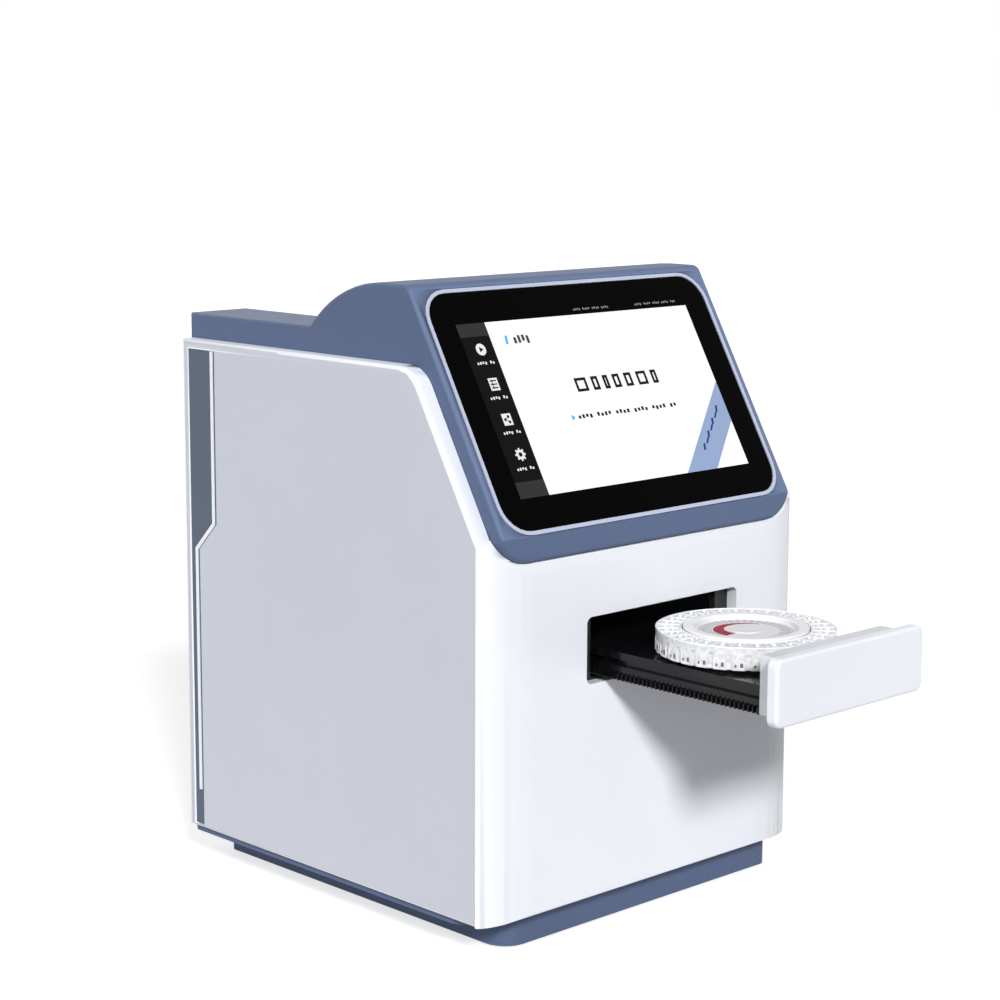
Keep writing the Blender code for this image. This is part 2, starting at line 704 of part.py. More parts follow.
def chassis_plate():
    half = HOOD_HALF - 2 * SEAT_GAP
    front = PLINTH_FRONT_INSET + SEAT_GAP
    rear = REAR_PANEL_FRONT - SEAT_GAP
    outline = rounded([(-half, front, 0.034), (half, front, 0.004), (half, rear, 0.004),
                       (-half, rear, 0.004)], 6)
    plate = piece("chassis_plate", prism(outline, "z", SHELL_BOTTOM, CHASSIS_TOP),
                  look("chassis_plate", STEEL, 0.35, 1.0))
    windows = bmesh.new()
    across = (half + DECK_HALF) / 2
    for x in (-across, across):
        add_prism(windows, rounded_rectangle(x, (front + rear) / 2, half - DECK_HALF - 4 * SHEET,
                                             (rear - front) * 0.6, 2 * SHEET, 2), "z",
                  SHELL_BOTTOM - SHEET, CHASSIS_TOP + SHEET)
    cut(plate, windows)


def hood_back(top, start, radius, low, steps=9):
    """Curve of the hood from its flat top down to a height, as an arc."""
    last = atan2(sqrt(radius ** 2 - (radius - (top - low)) ** 2), radius - (top - low))
    return [(start + radius * sin(last * step / steps), top - radius + radius
             * cos(last * step / steps)) for step in range(steps + 1)]


def hood_outline(inset, closing):
    """Hood seen from the side: lip, screen slope, crown, back curve and deck."""
    face = HOOD_FACE + inset
    top = HOOD_TOP - inset
    deck = DECK_HEIGHT - inset
    proud = HOOD_PROUD - inset
    bend = slope_height(face, -proud)
    brow = slope_depth(top, -proud)
    front = rounded([(face, HOOD_BOTTOM - 0.02, 0), (face, bend, 0.0015),
                     (brow, top, HOOD_BROW_RADIUS - inset / 2), (HOOD_CROWN_END, top, 0)], 4)
    rear = BODY_DEPTH - inset
    front = [point for point in front if point[1] > HOOD_BOTTOM - 0.01]
    back = hood_back(top, HOOD_CROWN_END, HOOD_BACK_RADIUS - inset, deck)
    return closing + front[:-1] + back + [(rear, deck)]


def top_hood():
    under = LEDGE_HEIGHT - HOOD_SINK
    closing = [(BODY_DEPTH, under), (slope_depth(under, HOOD_SINK), under),
               (slope_depth(HOOD_BOTTOM, HOOD_SINK), HOOD_BOTTOM), (HOOD_FACE, HOOD_BOTTOM)]
    hood = piece("top_hood", prism(hood_outline(0, closing), "x", -HOOD_HALF, HOOD_HALF),
                 look("top_hood", SLATE, 0.42))
    trim(hood, prism(hood_front_outline(0), "y", -0.05, BODY_DEPTH + 0.05))
    bm = settled(hood)
    bmesh.ops.dissolve_limit(bm, angle_limit=radians(0.5), verts=bm.verts, edges=bm.edges)
    bmesh.ops.bevel(bm, geom=hood_edges(bm), offset=HOOD_EDGE_RADIUS, offset_type="OFFSET",
                    segments=3, profile=0.5, affect="EDGES", clamp_overlap=True, material=-1)
    replace_shape(hood, bm)
    closing = [(BODY_DEPTH - HOOD_WALL, 0.15), (HOOD_FACE + HOOD_WALL, 0.15)]
    inner = cut(hood, prism(hood_outline(HOOD_WALL, closing), "x", HOOD_WALL - HOOD_HALF,
                            HOOD_HALF - HOOD_WALL))
    trim(inner, prism(hood_inner_front(), "y", -0.05, BODY_DEPTH + 0.05))
    bay_half = BAY_WIDTH / 2
    cut(inner, box((-bay_half - BAY_WALL, BAY_FRONT - BAY_WALL, LEDGE_HEIGHT + SEAT_GAP),
                   (bay_half + BAY_WALL, BODY_DEPTH + 0.01, HOOD_TOP)))
    cut(hood, box((-bay_half, BAY_FRONT, under - 0.01), (bay_half, BODY_DEPTH + 0.01, HOOD_TOP)))
    seat = rounded_rectangle(0, GLASS_RISE, GLASS_WIDTH + 2 * (RIM_WIDTH + 2 * SEAT_GAP),
                             GLASS_HEIGHT + 2 * (RIM_WIDTH + 2 * SEAT_GAP),
                             GLASS_RADIUS + RIM_WIDTH + 2 * SEAT_GAP, 6)
    cut(hood, on_screen(prism(seat, "z", HOOD_PROUD - RIM_DEPTH - SEAT_GAP, HOOD_PROUD + 0.01)))
    window = rounded_rectangle(0, GLASS_RISE, PANEL_WIDTH + 4 * SEAT_GAP,
                               PANEL_HEIGHT + 4 * SEAT_GAP, 0.001, 1)
    cut(hood, on_screen(prism(window, "z", HOOD_PROUD - 0.03, HOOD_PROUD + 0.01)))


def hood_inner_front():
    """Front view of the hood's inside: walls follow the outside, open below."""
    outline = hood_front_outline(-HOOD_WALL)
    half = HOOD_HALF - HOOD_WALL - HOOD_CORNER_RADIUS + HOOD_WALL
    flat = [(-half, 0.14), (half, 0.14)]
    count = len(outline) // 2 - 1
    return outline[:count] + flat + outline[count:]


def hood_edges(bm):
    """Outer edges of the hood that are rounded: not the rim sunk below the ledge."""
    chosen = []
    for edge in bm.edges:
        if len(edge.link_faces) != 2 or edge.calc_face_angle(0) < radians(35):
            continue
        first, second = (vert.co for vert in edge.verts)
        depths = [(point.z - SLOPE_FOOT) * SLOPE_RUN - (point.y + FRONT_CROWN) * SLOPE_RISE
                  for point in (first, second)]
        sunk = [depth < 0.0005 - HOOD_SINK and point.z < LEDGE_HEIGHT - HOOD_SINK + 0.0005
                for depth, point in zip(depths, (first, second))]
        across = abs(first.x - second.x) > HOOD_HALF / 2
        at_lip = max(first.z, second.z) < HOOD_BOTTOM + 0.0001
        if all(sunk) or (across and not at_lip):
            continue
        chosen.append(edge)
    return chosen


def on_screen(bm):
    """Moves a mesh drawn as (across, up the slope, out of the slope) onto the screen slope."""
    bm.transform(SCREEN_FRAME)
    return bm


def display():
    glass = rounded_rectangle(0, GLASS_RISE, GLASS_WIDTH, GLASS_HEIGHT, GLASS_RADIUS, 6)
    glass_front = HOOD_PROUD - 0.0001
    glass_back = glass_front - GLASS_THICKNESS
    piece("screen_glass", on_screen(prism(glass, "z", glass_back, glass_front)),
          look("screen_glass", BLACK, 0.08))
    outer = rounded_rectangle(0, GLASS_RISE, GLASS_WIDTH + 2 * (RIM_WIDTH + SEAT_GAP),
                              GLASS_HEIGHT + 2 * (RIM_WIDTH + SEAT_GAP),
                              GLASS_RADIUS + RIM_WIDTH + SEAT_GAP, 6)
    inner = rounded_rectangle(0, GLASS_RISE, GLASS_WIDTH + 2 * SEAT_GAP,
                              GLASS_HEIGHT + 2 * SEAT_GAP, GLASS_RADIUS + SEAT_GAP, 6)
    rim = piece("display_rim", on_screen(prism(outer, "z", HOOD_PROUD - RIM_DEPTH,
                                               HOOD_PROUD + RIM_PROUD)),
                look("display_rim", (0.60, 0.64, 0.74), 0.3, 0.6))
    cut(rim, on_screen(prism(inner, "z", HOOD_PROUD - 0.01, HOOD_PROUD + 0.01)))
    panel_front = glass_back - SEAT_GAP
    panel_back = panel_front - PANEL_DEPTH
    module = on_screen(prism(rounded_rectangle(0, GLASS_RISE, PANEL_WIDTH, PANEL_HEIGHT,
                                               0.001, 1), "z", panel_back, panel_front))
    lcd = piece("lcd_module", module, look("lcd_module", DARK_GREY, 0.4))
    posts = bmesh.new()
    for x, rise in post_places():
        add_prism(posts, circle(x, rise, POST_RADIUS, 12), "z", panel_back - POST_LENGTH,
                  panel_back + 0.001)
    join(lcd, on_screen(posts))
    main_board(panel_back - POST_LENGTH - SEAT_GAP)


def post_places():
    x = PANEL_WIDTH / 2 - 0.012
    rise = PANEL_HEIGHT / 2 - 0.012
    return [(a, GLASS_RISE + b) for a in (-x, x) for b in (-rise, rise)]


def main_board(front):
    back = front - BOARD_THICKNESS
    outline = rounded_rectangle(0, GLASS_RISE, PANEL_WIDTH - 0.008, PANEL_HEIGHT - 0.008,
                                0.002, 2)
    board = piece("main_board", on_screen(prism(outline, "z", back, front)),
                  look("main_board", BOARD_GREEN, 0.5))
    parts = bmesh.new()
    chips = ((-0.045, 0.020, 0.024, 0.024, 0.003), (-0.005, 0.022, 0.014, 0.018, 0.0025),
             (0.030, 0.015, 0.016, 0.012, 0.006), (-0.040, -0.022, 0.030, 0.008, 0.008),
             (0.010, -0.024, 0.022, 0.010, 0.009), (0.048, -0.018, 0.012, 0.012, 0.010))
    for x, rise, width, height, depth in chips:
        add_prism(parts, rounded_rectangle(x, GLASS_RISE + rise, width, height, 0.0005, 1), "z",
                  back - depth, back + BOARD_THICKNESS / 2)
    join(board, on_screen(parts))


def rear_panel():
    half = HOOD_HALF + REAR_LAP
    low = SHELL_BOTTOM + SHELL_WALL + SEAT_GAP
    outline = rounded([(-half, low, 0.003), (half, low, 0.003), (half, REAR_PANEL_TOP, 0.002),
                       (-half, REAR_PANEL_TOP, 0.002)], 3)
    panel = piece("rear_panel", prism(outline, "y", REAR_PANEL_FRONT, REAR_PANEL_REAR),
                  look("rear_panel", SILVER_WHITE, 0.5))
    before = REAR_PANEL_FRONT - 0.002
    after = REAR_PANEL_REAR + 0.002
    holes = bmesh.new()
    add_prism(holes, rounded_rectangle(INLET_X, INLET_Z, INLET_WIDTH + 4 * SEAT_GAP,
                                       INLET_HEIGHT + 4 * SEAT_GAP, 0.001, 1), "y", before, after)
    add_prism(holes, rounded_rectangle(INLET_X, SWITCH_Z, SWITCH_WIDTH + 4 * SEAT_GAP,
                                       SWITCH_HEIGHT + 4 * SEAT_GAP, 0.001, 1), "y", before, after)
    add_prism(holes, rounded_rectangle(PORTS_X, PORTS_Z, PORT_BLOCK_WIDTH + 4 * SEAT_GAP,
                                       PORT_BLOCK_HEIGHT + 4 * SEAT_GAP, 0.0008, 1), "y",
              before, after)
    cut(panel, holes)
    cut(panel, fan_grille(before, after))
    louvres = bmesh.new()
    for index in range(6):
        z = 0.204 + index * 0.008
        for x in (-0.052, 0.052):
            add_prism(louvres, rounded_rectangle(x, z, 0.060, 0.0030, 0.0011, 1), "y", before, after)
    cut(panel, louvres)


def fan_grille(before, after):
    """Rows of slots clipped to the fan's circle."""
    bm = bmesh.new()
    reach = FAN_SIZE / 2 - 0.004
    pitch = 0.0055
    rows = int(reach // pitch)
    for row in range(-rows, rows + 1):
        z = FAN_Z + row * pitch
        half = sqrt(reach ** 2 - (row * pitch) ** 2) - 0.001
        if half < 0.004:
            continue
        rib = 0.0013
        for side in (-1, 1):
            centre = FAN_X + side * (half + rib) / 2
            add_prism(bm, rounded_rectangle(centre, z, half - rib, 0.0032, 0.0012, 1), "y",
                      before, after)
    return bm


def fan():
    front = REAR_PANEL_FRONT - SEAT_GAP - FAN_DEPTH
    rear = REAR_PANEL_FRONT - SEAT_GAP
    bore = FAN_SIZE / 2 - 0.0015
    frame = piece("fan_frame", prism(rounded_rectangle(FAN_X, FAN_Z, FAN_SIZE, FAN_SIZE, 0.004, 2),
                                     "y", front, rear), look("fan_frame", BLACK, 0.55))
    duct = cut(frame, prism(circle(FAN_X, FAN_Z, bore, 32), "y", front - 0.002, rear + 0.002))
    spider_rear = front + 0.003
    spider = bmesh.new()
    add_prism(spider, circle(FAN_X, FAN_Z, FAN_HUB_RADIUS - 0.001, 24), "y", front, spider_rear)
    cut(duct, spider)
    for quarter in range(4):
        arm = prism([(-0.0015, 0.0), (0.0015, 0.0), (0.0015, bore + 0.002), (-0.0015, bore + 0.002)],
                    "y", front, spider_rear)
        turn = Matrix.Rotation(radians(45 + 90 * quarter), 4, "Y")
        arm.transform(Matrix.Translation((FAN_X, 0, FAN_Z)) @ turn)
        cut(duct, arm)
    fan_rotor(spider_rear + 0.0005, rear - 0.001, bore - FAN_TIP_GAP)


def fan_rotor(front, rear, tip):
    hub = turned([(0, front), (FAN_HUB_RADIUS - 0.001, front), (FAN_HUB_RADIUS, front + 0.001),
                  (FAN_HUB_RADIUS, rear - 0.001), (FAN_HUB_RADIUS - 0.001, rear), (0, rear)],
                 (FAN_X, 0, FAN_Z), "y", 28)
    rotor = piece("fan_rotor", hub, look("fan_rotor", DARK_GREY, 0.5), (FAN_X, 0, FAN_Z))
    blades = bmesh.new()
    middle = (front + rear) / 2
    chord = (rear - front) * 0.36
    for index in range(FAN_BLADES):
        section = [(-chord, -0.0052), (chord, 0.0040), (chord, 0.0052), (-chord, -0.0040)]
        blade = prism([(along + middle, lift) for along, lift in section], "x",
                      FAN_HUB_RADIUS - 0.002, tip)
        blade.transform(Matrix.Translation((FAN_X, 0, FAN_Z))
                        @ Matrix.Rotation(2 * pi * index / FAN_BLADES, 4, "Y"))
        joined = bpy.data.meshes.new("blade")
        blade.to_mesh(joined)
        blade.free()
        blades.from_mesh(joined)
    join(rotor, blades)


def socket_box(x, z, width, height, front, rear):
    return box((x - width / 2, front, z - height / 2), (x + width / 2, rear, z + height / 2))


def rear_sockets():
    seat = REAR_PANEL_FRONT - SEAT_GAP
    face = REAR_PANEL_REAR + SOCKET_PROUD
    inlet = piece("power_inlet", socket_box(INLET_X, INLET_Z, INLET_WIDTH, INLET_HEIGHT,
                                            seat - INLET_DEPTH, face),
                  look("power_inlet", BLACK, 0.5))
    join(inlet, socket_box(INLET_X, INLET_Z, INLET_WIDTH + 2 * SOCKET_FLANGE,
                           INLET_HEIGHT + 2 * SOCKET_FLANGE, seat - SOCKET_FLANGE_THICKNESS, seat))
    half = INLET_MOUTH_WIDTH / 2
    tall = INLET_MOUTH_HEIGHT / 2
    edge = PIN_WIDTH / 2
    corner = INLET_MOUTH_CORNER
    mouth = rounded([(INLET_X - half, INLET_Z - tall, edge), (INLET_X + half, INLET_Z - tall, edge),
                     (INLET_X + half, INLET_Z + tall - corner, edge),
                     (INLET_X + half - corner, INLET_Z + tall, edge),
                     (INLET_X - half + corner, INLET_Z + tall, edge),
                     (INLET_X - half, INLET_Z + tall - corner, edge)], 1)
    socket = cut(inlet, prism(mouth, "y", face - INLET_MOUTH_DEPTH, face + PIN_WIDTH))
    pins = bmesh.new()
    for step, rise in ((-1, -PIN_WIDTH), (0, PIN_WIDTH), (1, -PIN_WIDTH)):
        x = INLET_X + step * PIN_PITCH
        add_box(pins, (x - PIN_WIDTH / 2, face - INLET_MOUTH_DEPTH - PIN_WIDTH,
                       INLET_Z + rise - PIN_HEIGHT / 2),
                (x + PIN_WIDTH / 2, face - PIN_WIDTH, INLET_Z + rise + PIN_HEIGHT / 2))
    cut(socket, pins)
    power_switch(seat, face)
    ports(seat, face)


def power_switch(seat, face):
    housing = piece("switch_housing", socket_box(INLET_X, SWITCH_Z, SWITCH_WIDTH, SWITCH_HEIGHT,
                                                 seat - SWITCH_DEPTH, face),
                    look("switch_housing", BLACK, 0.5))
    join(housing, socket_box(INLET_X, SWITCH_Z, SWITCH_WIDTH + SOCKET_FLANGE,
                             SWITCH_HEIGHT + SOCKET_FLANGE, seat - SOCKET_FLANGE_THICKNESS, seat))
    cut(housing, socket_box(INLET_X, SWITCH_Z, SWITCH_WIDTH - 2 * SWITCH_WALL,
                            SWITCH_HEIGHT - 2 * SWITCH_WALL,
                            seat - SWITCH_DEPTH + 2 * SWITCH_WALL, face + SWITCH_WALL))
    pivot = (INLET_X, face - ROCKER_RISE, SWITCH_Z)
    across = SWITCH_HEIGHT / 2 - SWITCH_WALL - SLIDE_GAP
    end = SWITCH_WIDTH / 2 - SWITCH_WALL - SLIDE_GAP - ROCKER_RISE * sin(ROCKER_TILT)
    low = ROCKER_RISE / 2
    waist = end / 4
    rocker = prism([(-end, low), (-end, ROCKER_RISE), (0, ROCKER_DISH), (end, ROCKER_RISE),
                    (end, low), (waist, -low), (-waist, -low)], "z", -across, across)
    rocker.transform(Matrix.Translation(pivot) @ Matrix.Rotation(-ROCKER_TILT, 4, "Z"))
    piece("power_rocker", rocker, look("power_rocker", RUBBER_BLACK, 0.4), pivot)


def ports(seat, face):
    block = piece("io_ports", socket_box(PORTS_X, PORTS_Z, PORT_BLOCK_WIDTH, PORT_BLOCK_HEIGHT,
                                         seat - PORT_BLOCK_DEPTH, face),
                  look("io_ports", STEEL, 0.35, 1.0))
    join(block, socket_box(PORTS_X, PORTS_Z, PORT_BLOCK_WIDTH + 2 * SOCKET_FLANGE,
                           PORT_BLOCK_HEIGHT + 2 * SOCKET_FLANGE,
                           seat - SOCKET_FLANGE_THICKNESS, seat))
    mouths = bmesh.new()
    sizes = ((-1, NETWORK_WIDTH, NETWORK_HEIGHT), (0, DATA_WIDTH, DATA_HEIGHT),
             (1, DATA_WIDTH, DATA_HEIGHT))
    for step, width, height in sizes:
        x = PORTS_X + step * PORT_PITCH
        add_box(mouths, (x - width / 2, face - PORT_PLUG_DEPTH, PORTS_Z - height / 2),
                (x + width / 2, face + SOCKET_PROUD, PORTS_Z + height / 2))
    cut(block, mouths)


def power_supply():
    low = CHASSIS_TOP + SEAT_GAP
    half = SUPPLY_WIDTH / 2
    supply = piece("power_supply", box((-half, SUPPLY_FRONT, low),
                                       (half, SUPPLY_FRONT + SUPPLY_LENGTH, low + SUPPLY_HEIGHT)),
                   look("power_supply", STEEL, 0.4, 1.0))
    slots = bmesh.new()
    count = 9
    pitch = SUPPLY_LENGTH / (count + 1)
    for index in range(count):
        y = SUPPLY_FRONT + pitch * (index + 1)
        add_prism(slots, rounded_rectangle(0, y, SUPPLY_WIDTH * 0.7, pitch * 0.4, pitch * 0.15, 1),
                  "z", low + SUPPLY_HEIGHT - SHEET, low + SUPPLY_HEIGHT + SHEET)
    cut(supply, slots)


def mechanism_frame():
    low = CHASSIS_TOP + SEAT_GAP
    outer, inner, foot = DECK_HALF, DECK_HALF - SHEET, DECK_HALF - DECK_FOOT
    outline = [(-outer, low), (-foot, low), (-foot, low + SHEET), (-inner, low + SHEET),
               (-inner, DECK_UNDERSIDE), (inner, DECK_UNDERSIDE), (inner, low + SHEET),
               (foot, low + SHEET), (foot, low), (outer, low), (outer, DECK_TOP),
               (-outer, DECK_TOP)]
    frame = piece("mechanism_frame", prism(outline, "y", DECK_FRONT, DECK_FRONT + DECK_LENGTH),
                  look("mechanism_frame", STEEL, 0.35, 1.0))
    holes = bmesh.new()
    add_prism(holes, circle(DRAWER_X, SPINDLE_Y, SPINDLE_HUB_RADIUS + SPINDLE_CLEAR, 28), "z",
              DECK_UNDERSIDE - SHEET, DECK_TOP + SHEET)
    add_prism(holes, circle(PINION_X, PINION_Y, MOTOR_BOSS_RADIUS + SLIDE_GAP, 20), "z",
              DECK_UNDERSIDE - SHEET, DECK_TOP + SHEET)
    cut(frame, holes)


def guide_rail(name, side):
    low = DECK_TOP + SEAT_GAP
    inner = DRAWER_X + side * (RACK_TIP + RAIL_CLEAR)
    outer = inner + side * RAIL_WALL
    rib_tip = DRAWER_X + side * (TRAY_HALF - GROOVE_DEPTH + SLIDE_GAP)
    rib_low = GROOVE_BOTTOM + SLIDE_GAP
    rib_high = GROOVE_BOTTOM + GROOVE_HEIGHT - SLIDE_GAP
    flange = outer + side * RAIL_FLANGE
    outline = [(inner, low), (inner, rib_low), (rib_tip, rib_low), (rib_tip, rib_high),
               (outer, rib_high), (outer, low + SHEET), (flange, low + SHEET), (flange, low)]
    rail = piece(name, prism(outline, "y", DECK_FRONT, DECK_FRONT + RAIL_LENGTH),
                 look(name, DARK_GREY, 0.45))
    if side < 0:
        clear = PITCH_RADIUS + 3 * GEAR_MODULE
        cut(rail, box((flange - GEAR_MODULE, DECK_FRONT - GEAR_MODULE, low - GEAR_MODULE),
                      (inner + GEAR_MODULE, PINION_Y + clear, rib_low - GEAR_MODULE)))


def gear_outline(teeth, thin):
    """Spur gear with involute flanks, teeth thinned by the backlash; first tooth along +X."""
    pitch = GEAR_MODULE * teeth / 2
    base = pitch * cos(PRESSURE_ANGLE)
    root = pitch - 1.2 * GEAR_MODULE
    tip = pitch + 0.95 * GEAR_MODULE
    half_pitch_angle = pi / (2 * teeth) - thin / (2 * pitch)
    involute_at_pitch = tan(PRESSURE_ANGLE) - PRESSURE_ANGLE

    def half_angle(radius):
        if radius <= base:
            return half_pitch_angle + involute_at_pitch
        roll = sqrt((radius / base) ** 2 - 1)
        return half_pitch_angle + involute_at_pitch - (roll - atan2(roll, 1))

    radii = [root, base + 0.00003, pitch, (pitch + tip) / 2, tip]
    points = []
    for tooth in range(teeth):
        centre = 2 * pi * tooth / teeth
        for radius in radii:
            points.append((radius, centre - half_angle(radius)))
        for radius in reversed(radii):
            points.append((radius, centre + half_angle(radius)))
    return [(radius * cos(angle), radius * sin(angle)) for radius, angle in points]


def drive_pinion():
    low = TRAY_BOTTOM - 0.0003
    gear = [(PINION_X + x, PINION_Y + y) for x, y in gear_outline(PINION_TEETH, GEAR_BACKLASH)]
    pinion = piece("drive_pinion", prism(gear, "z", low, low + PINION_FACE),
                   look("drive_pinion", PAPER_WHITE, 0.4), (PINION_X, PINION_Y, low))
    motor_top = DECK_UNDERSIDE - SEAT_GAP
    join_low = low + PINION_FACE / 2
    shaft_end = motor_top - MOTOR_SHAFT_DEPTH
    collar = 2 * MOTOR_SHAFT_RADIUS
    stem = [(0, shaft_end), (MOTOR_SHAFT_RADIUS, shaft_end),
            (MOTOR_SHAFT_RADIUS, DECK_TOP + 2 * SHEET), (collar, DECK_TOP + 2 * SHEET),
            (collar, join_low), (0, join_low)]
    stem_mesh = turned([(radius, along - low) for radius, along in stem], (0, 0, 0), "z", 20)
    join(pinion, moved(stem_mesh, (PINION_X, PINION_Y, low)))


def moved(bm, offset):
    bmesh.ops.translate(bm, verts=bm.verts, vec=Vector(offset))
    return bm


def drive_motor():
    top = DECK_UNDERSIDE - SEAT_GAP
    low = top - DRIVE_MOTOR_HEIGHT
    outline = rounded_rectangle(PINION_X, PINION_Y + 0.0035, DRIVE_MOTOR_WIDTH, DRIVE_MOTOR_WIDTH,
                                0.004, 3)
    motor = piece("drive_motor", prism(outline, "z", low, top), look("drive_motor", DARK_GREY, 0.4, 0.5))
    join(motor, prism(circle(PINION_X, PINION_Y, MOTOR_BOSS_RADIUS, 20), "z", top - SHEET, DECK_TOP))
    cut(motor, prism(circle(PINION_X, PINION_Y, MOTOR_SHAFT_RADIUS + SHAFT_GAP * 3, 20), "z",
                     top - MOTOR_SHAFT_DEPTH - SHEET, DECK_TOP + SHEET))


def spindle():
    top = DECK_UNDERSIDE - SEAT_GAP
    low = top - SPINDLE_MOTOR_HEIGHT
    bore = MOTOR_SHAFT_RADIUS + 3 * SHAFT_GAP
    motor = turned([(bore, low + 0.004), (bore, top + 0.001), (0.006, top + 0.001), (0.006, top),
                    (SPINDLE_MOTOR_RADIUS, top), (SPINDLE_MOTOR_RADIUS, low + 0.002),
                    (SPINDLE_MOTOR_RADIUS - 0.002, low), (bore, low)],
                   (DRAWER_X, SPINDLE_Y, 0), "z", 24)
    piece("spindle_motor", motor, look("spindle_motor", STEEL, 0.3, 1.0))
    hub_top = TRAY_TOP - TRAY_FLOOR - SPINDLE_CLEAR
    hub = turned([(0, low + 0.006), (MOTOR_SHAFT_RADIUS, low + 0.006),
                  (MOTOR_SHAFT_RADIUS, top + 0.0013), (SPINDLE_HUB_RADIUS, top + 0.0013),
                  (SPINDLE_HUB_RADIUS, hub_top - 0.006), (DISC_BORE_RADIUS - 0.0005, hub_top - 0.003),
                  (DISC_BORE_RADIUS - 0.0010, hub_top), (0, hub_top)],
                 (DRAWER_X, SPINDLE_Y, 0), "z", 24)
    spindle_hub = piece("spindle_hub", hub, look("spindle_hub", STEEL, 0.25, 1.0),
                        (DRAWER_X, SPINDLE_Y, top))
    key = box((DRAWER_X + 0.0065, SPINDLE_Y - 0.001, hub_top - 0.0045),
              (DRAWER_X + 0.0085, SPINDLE_Y + 0.001, hub_top - 0.0018))
    join(spindle_hub, key)


def photometer():
    """C-shaped head: its arms reach over and under the tray at the cuvette ring's path."""
    spine_outer = DRAWER_X - RACK_TIP - RAIL_CLEAR - RAIL_WALL - 0.007 - PHOTOMETER_SPINE
    spine_inner = spine_outer + PHOTOMETER_SPINE
    arm_tip = DRAWER_X + 0.007
    low = DECK_TOP + SEAT_GAP
    lower_top = TRAY_BOTTOM - 0.0008
    upper_low = DISC_BOTTOM + DISC_FLOOR + COVER_HEIGHT + SEAT_GAP + PHOTOMETER_CLEAR
    outline = [(spine_outer, low), (spine_inner, low), (spine_inner, upper_low),
               (arm_tip, upper_low), (arm_tip, PHOTOMETER_TOP), (spine_outer, PHOTOMETER_TOP)]
    y = SPINDLE_Y + DISC_RADIUS - 0.004
    head = piece("photometer_head", prism(rounded([(a, b, 0) for a, b in outline]), "y",
                                          y - PHOTOMETER_WIDTH / 2, y + PHOTOMETER_WIDTH / 2),
                 look("photometer_head", BLACK, 0.5))
    cut(head, prism(circle(DRAWER_X, y, 0.002, 16), "z", upper_low - 0.001, PHOTOMETER_TOP - 0.004))
    lamp = piece("photometer_lamp", box((DRAWER_X - 0.010, y - PHOTOMETER_WIDTH / 2, low),
                                        (arm_tip + 0.003, y + PHOTOMETER_WIDTH / 2, lower_top)),
                 look("photometer_lamp", DARK_GREY, 0.4))
    cut(lamp, prism(circle(DRAWER_X, y, 0.003, 16), "z", low + 0.003, lower_top + 0.001))
    detector = prism(rounded_rectangle(DRAWER_X, y, 0.012, 0.012, 0.001, 1), "z",
                     PHOTOMETER_TOP + SEAT_GAP, PHOTOMETER_TOP + 0.006)
    piece("photometer_detector", detector, look("photometer_detector", BOARD_GREEN, 0.5))


def drawer_front():
    margin = FRONT_MARGIN
    width = OPENING_WIDTH - 2 * margin
    height = OPENING_HEIGHT - 2 * margin
    bm = prism(rounded_rectangle(DRAWER_X, OPENING_CENTRE, width, height, FRONT_RADIUS, 5), "y",
               FRONT_OPEN, FRONT_OPEN + FRONT_THICKNESS)
    edges = [edge for edge in bm.edges
             if all(abs(vert.co.y - FRONT_OPEN) < 1e-6 for vert in edge.verts)]
    bmesh.ops.bevel(bm, geom=edges, offset=FRONT_EDGE, offset_type="OFFSET", segments=3,
                    profile=0.5, affect="EDGES", material=-1)
    piece("drawer_front", bm, look("drawer_front", WHITE, 0.35), (DRAWER_X, FRONT_OPEN, OPENING_CENTRE))


def drawer_block():
    half = BLOCK_WIDTH / 2
    outline = rounded([(DRAWER_X - half, TRAY_BOTTOM, 0.001), (DRAWER_X + half, TRAY_BOTTOM, 0.001),
                       (DRAWER_X + half, TRAY_BOTTOM + BLOCK_HEIGHT, 0.0015),
                       (DRAWER_X - half, TRAY_BOTTOM + BLOCK_HEIGHT, 0.0015)], 3)
    piece("drawer_block", prism(outline, "y", BLOCK_FRONT, BLOCK_REAR),
          look("drawer_block", SILVER_WHITE, 0.4), (DRAWER_X, BLOCK_FRONT, OPENING_CENTRE))


def rack_gaps():
    """Straight-sided spaces between the rack's teeth, one of them facing the pinion at rest."""
    pitch = pi * GEAR_MODULE
    flank = tan(PRESSURE_ANGLE)
    depth = 2.2 * GEAR_MODULE
    half_at_pitch = pitch / 4 + GEAR_BACKLASH / 2
    out = GEAR_MODULE + 0.001
    x_tip = DRAWER_X - RACK_PITCH_LINE - out
    x_root = x_tip + out + depth - GEAR_MODULE
    wide = half_at_pitch + out * flank
    narrow = half_at_pitch - (depth - GEAR_MODULE) * flank
    first = ceil((TRAY_FRONT + 0.002 - PINION_Y) / pitch)
    last = int((TRAY_REAR - 0.002 - PINION_Y) / pitch)
    bm = bmesh.new()
    for index in range(first, last + 1):
        y = PINION_Y + index * pitch
        add_prism(bm, [(x_tip, y - wide), (x_root, y - narrow), (x_root, y + narrow),
                       (x_tip, y + wide)], "z", TRAY_BOTTOM - 0.001, TRAY_BOTTOM + RACK_FACE + 0.001)
    return bm


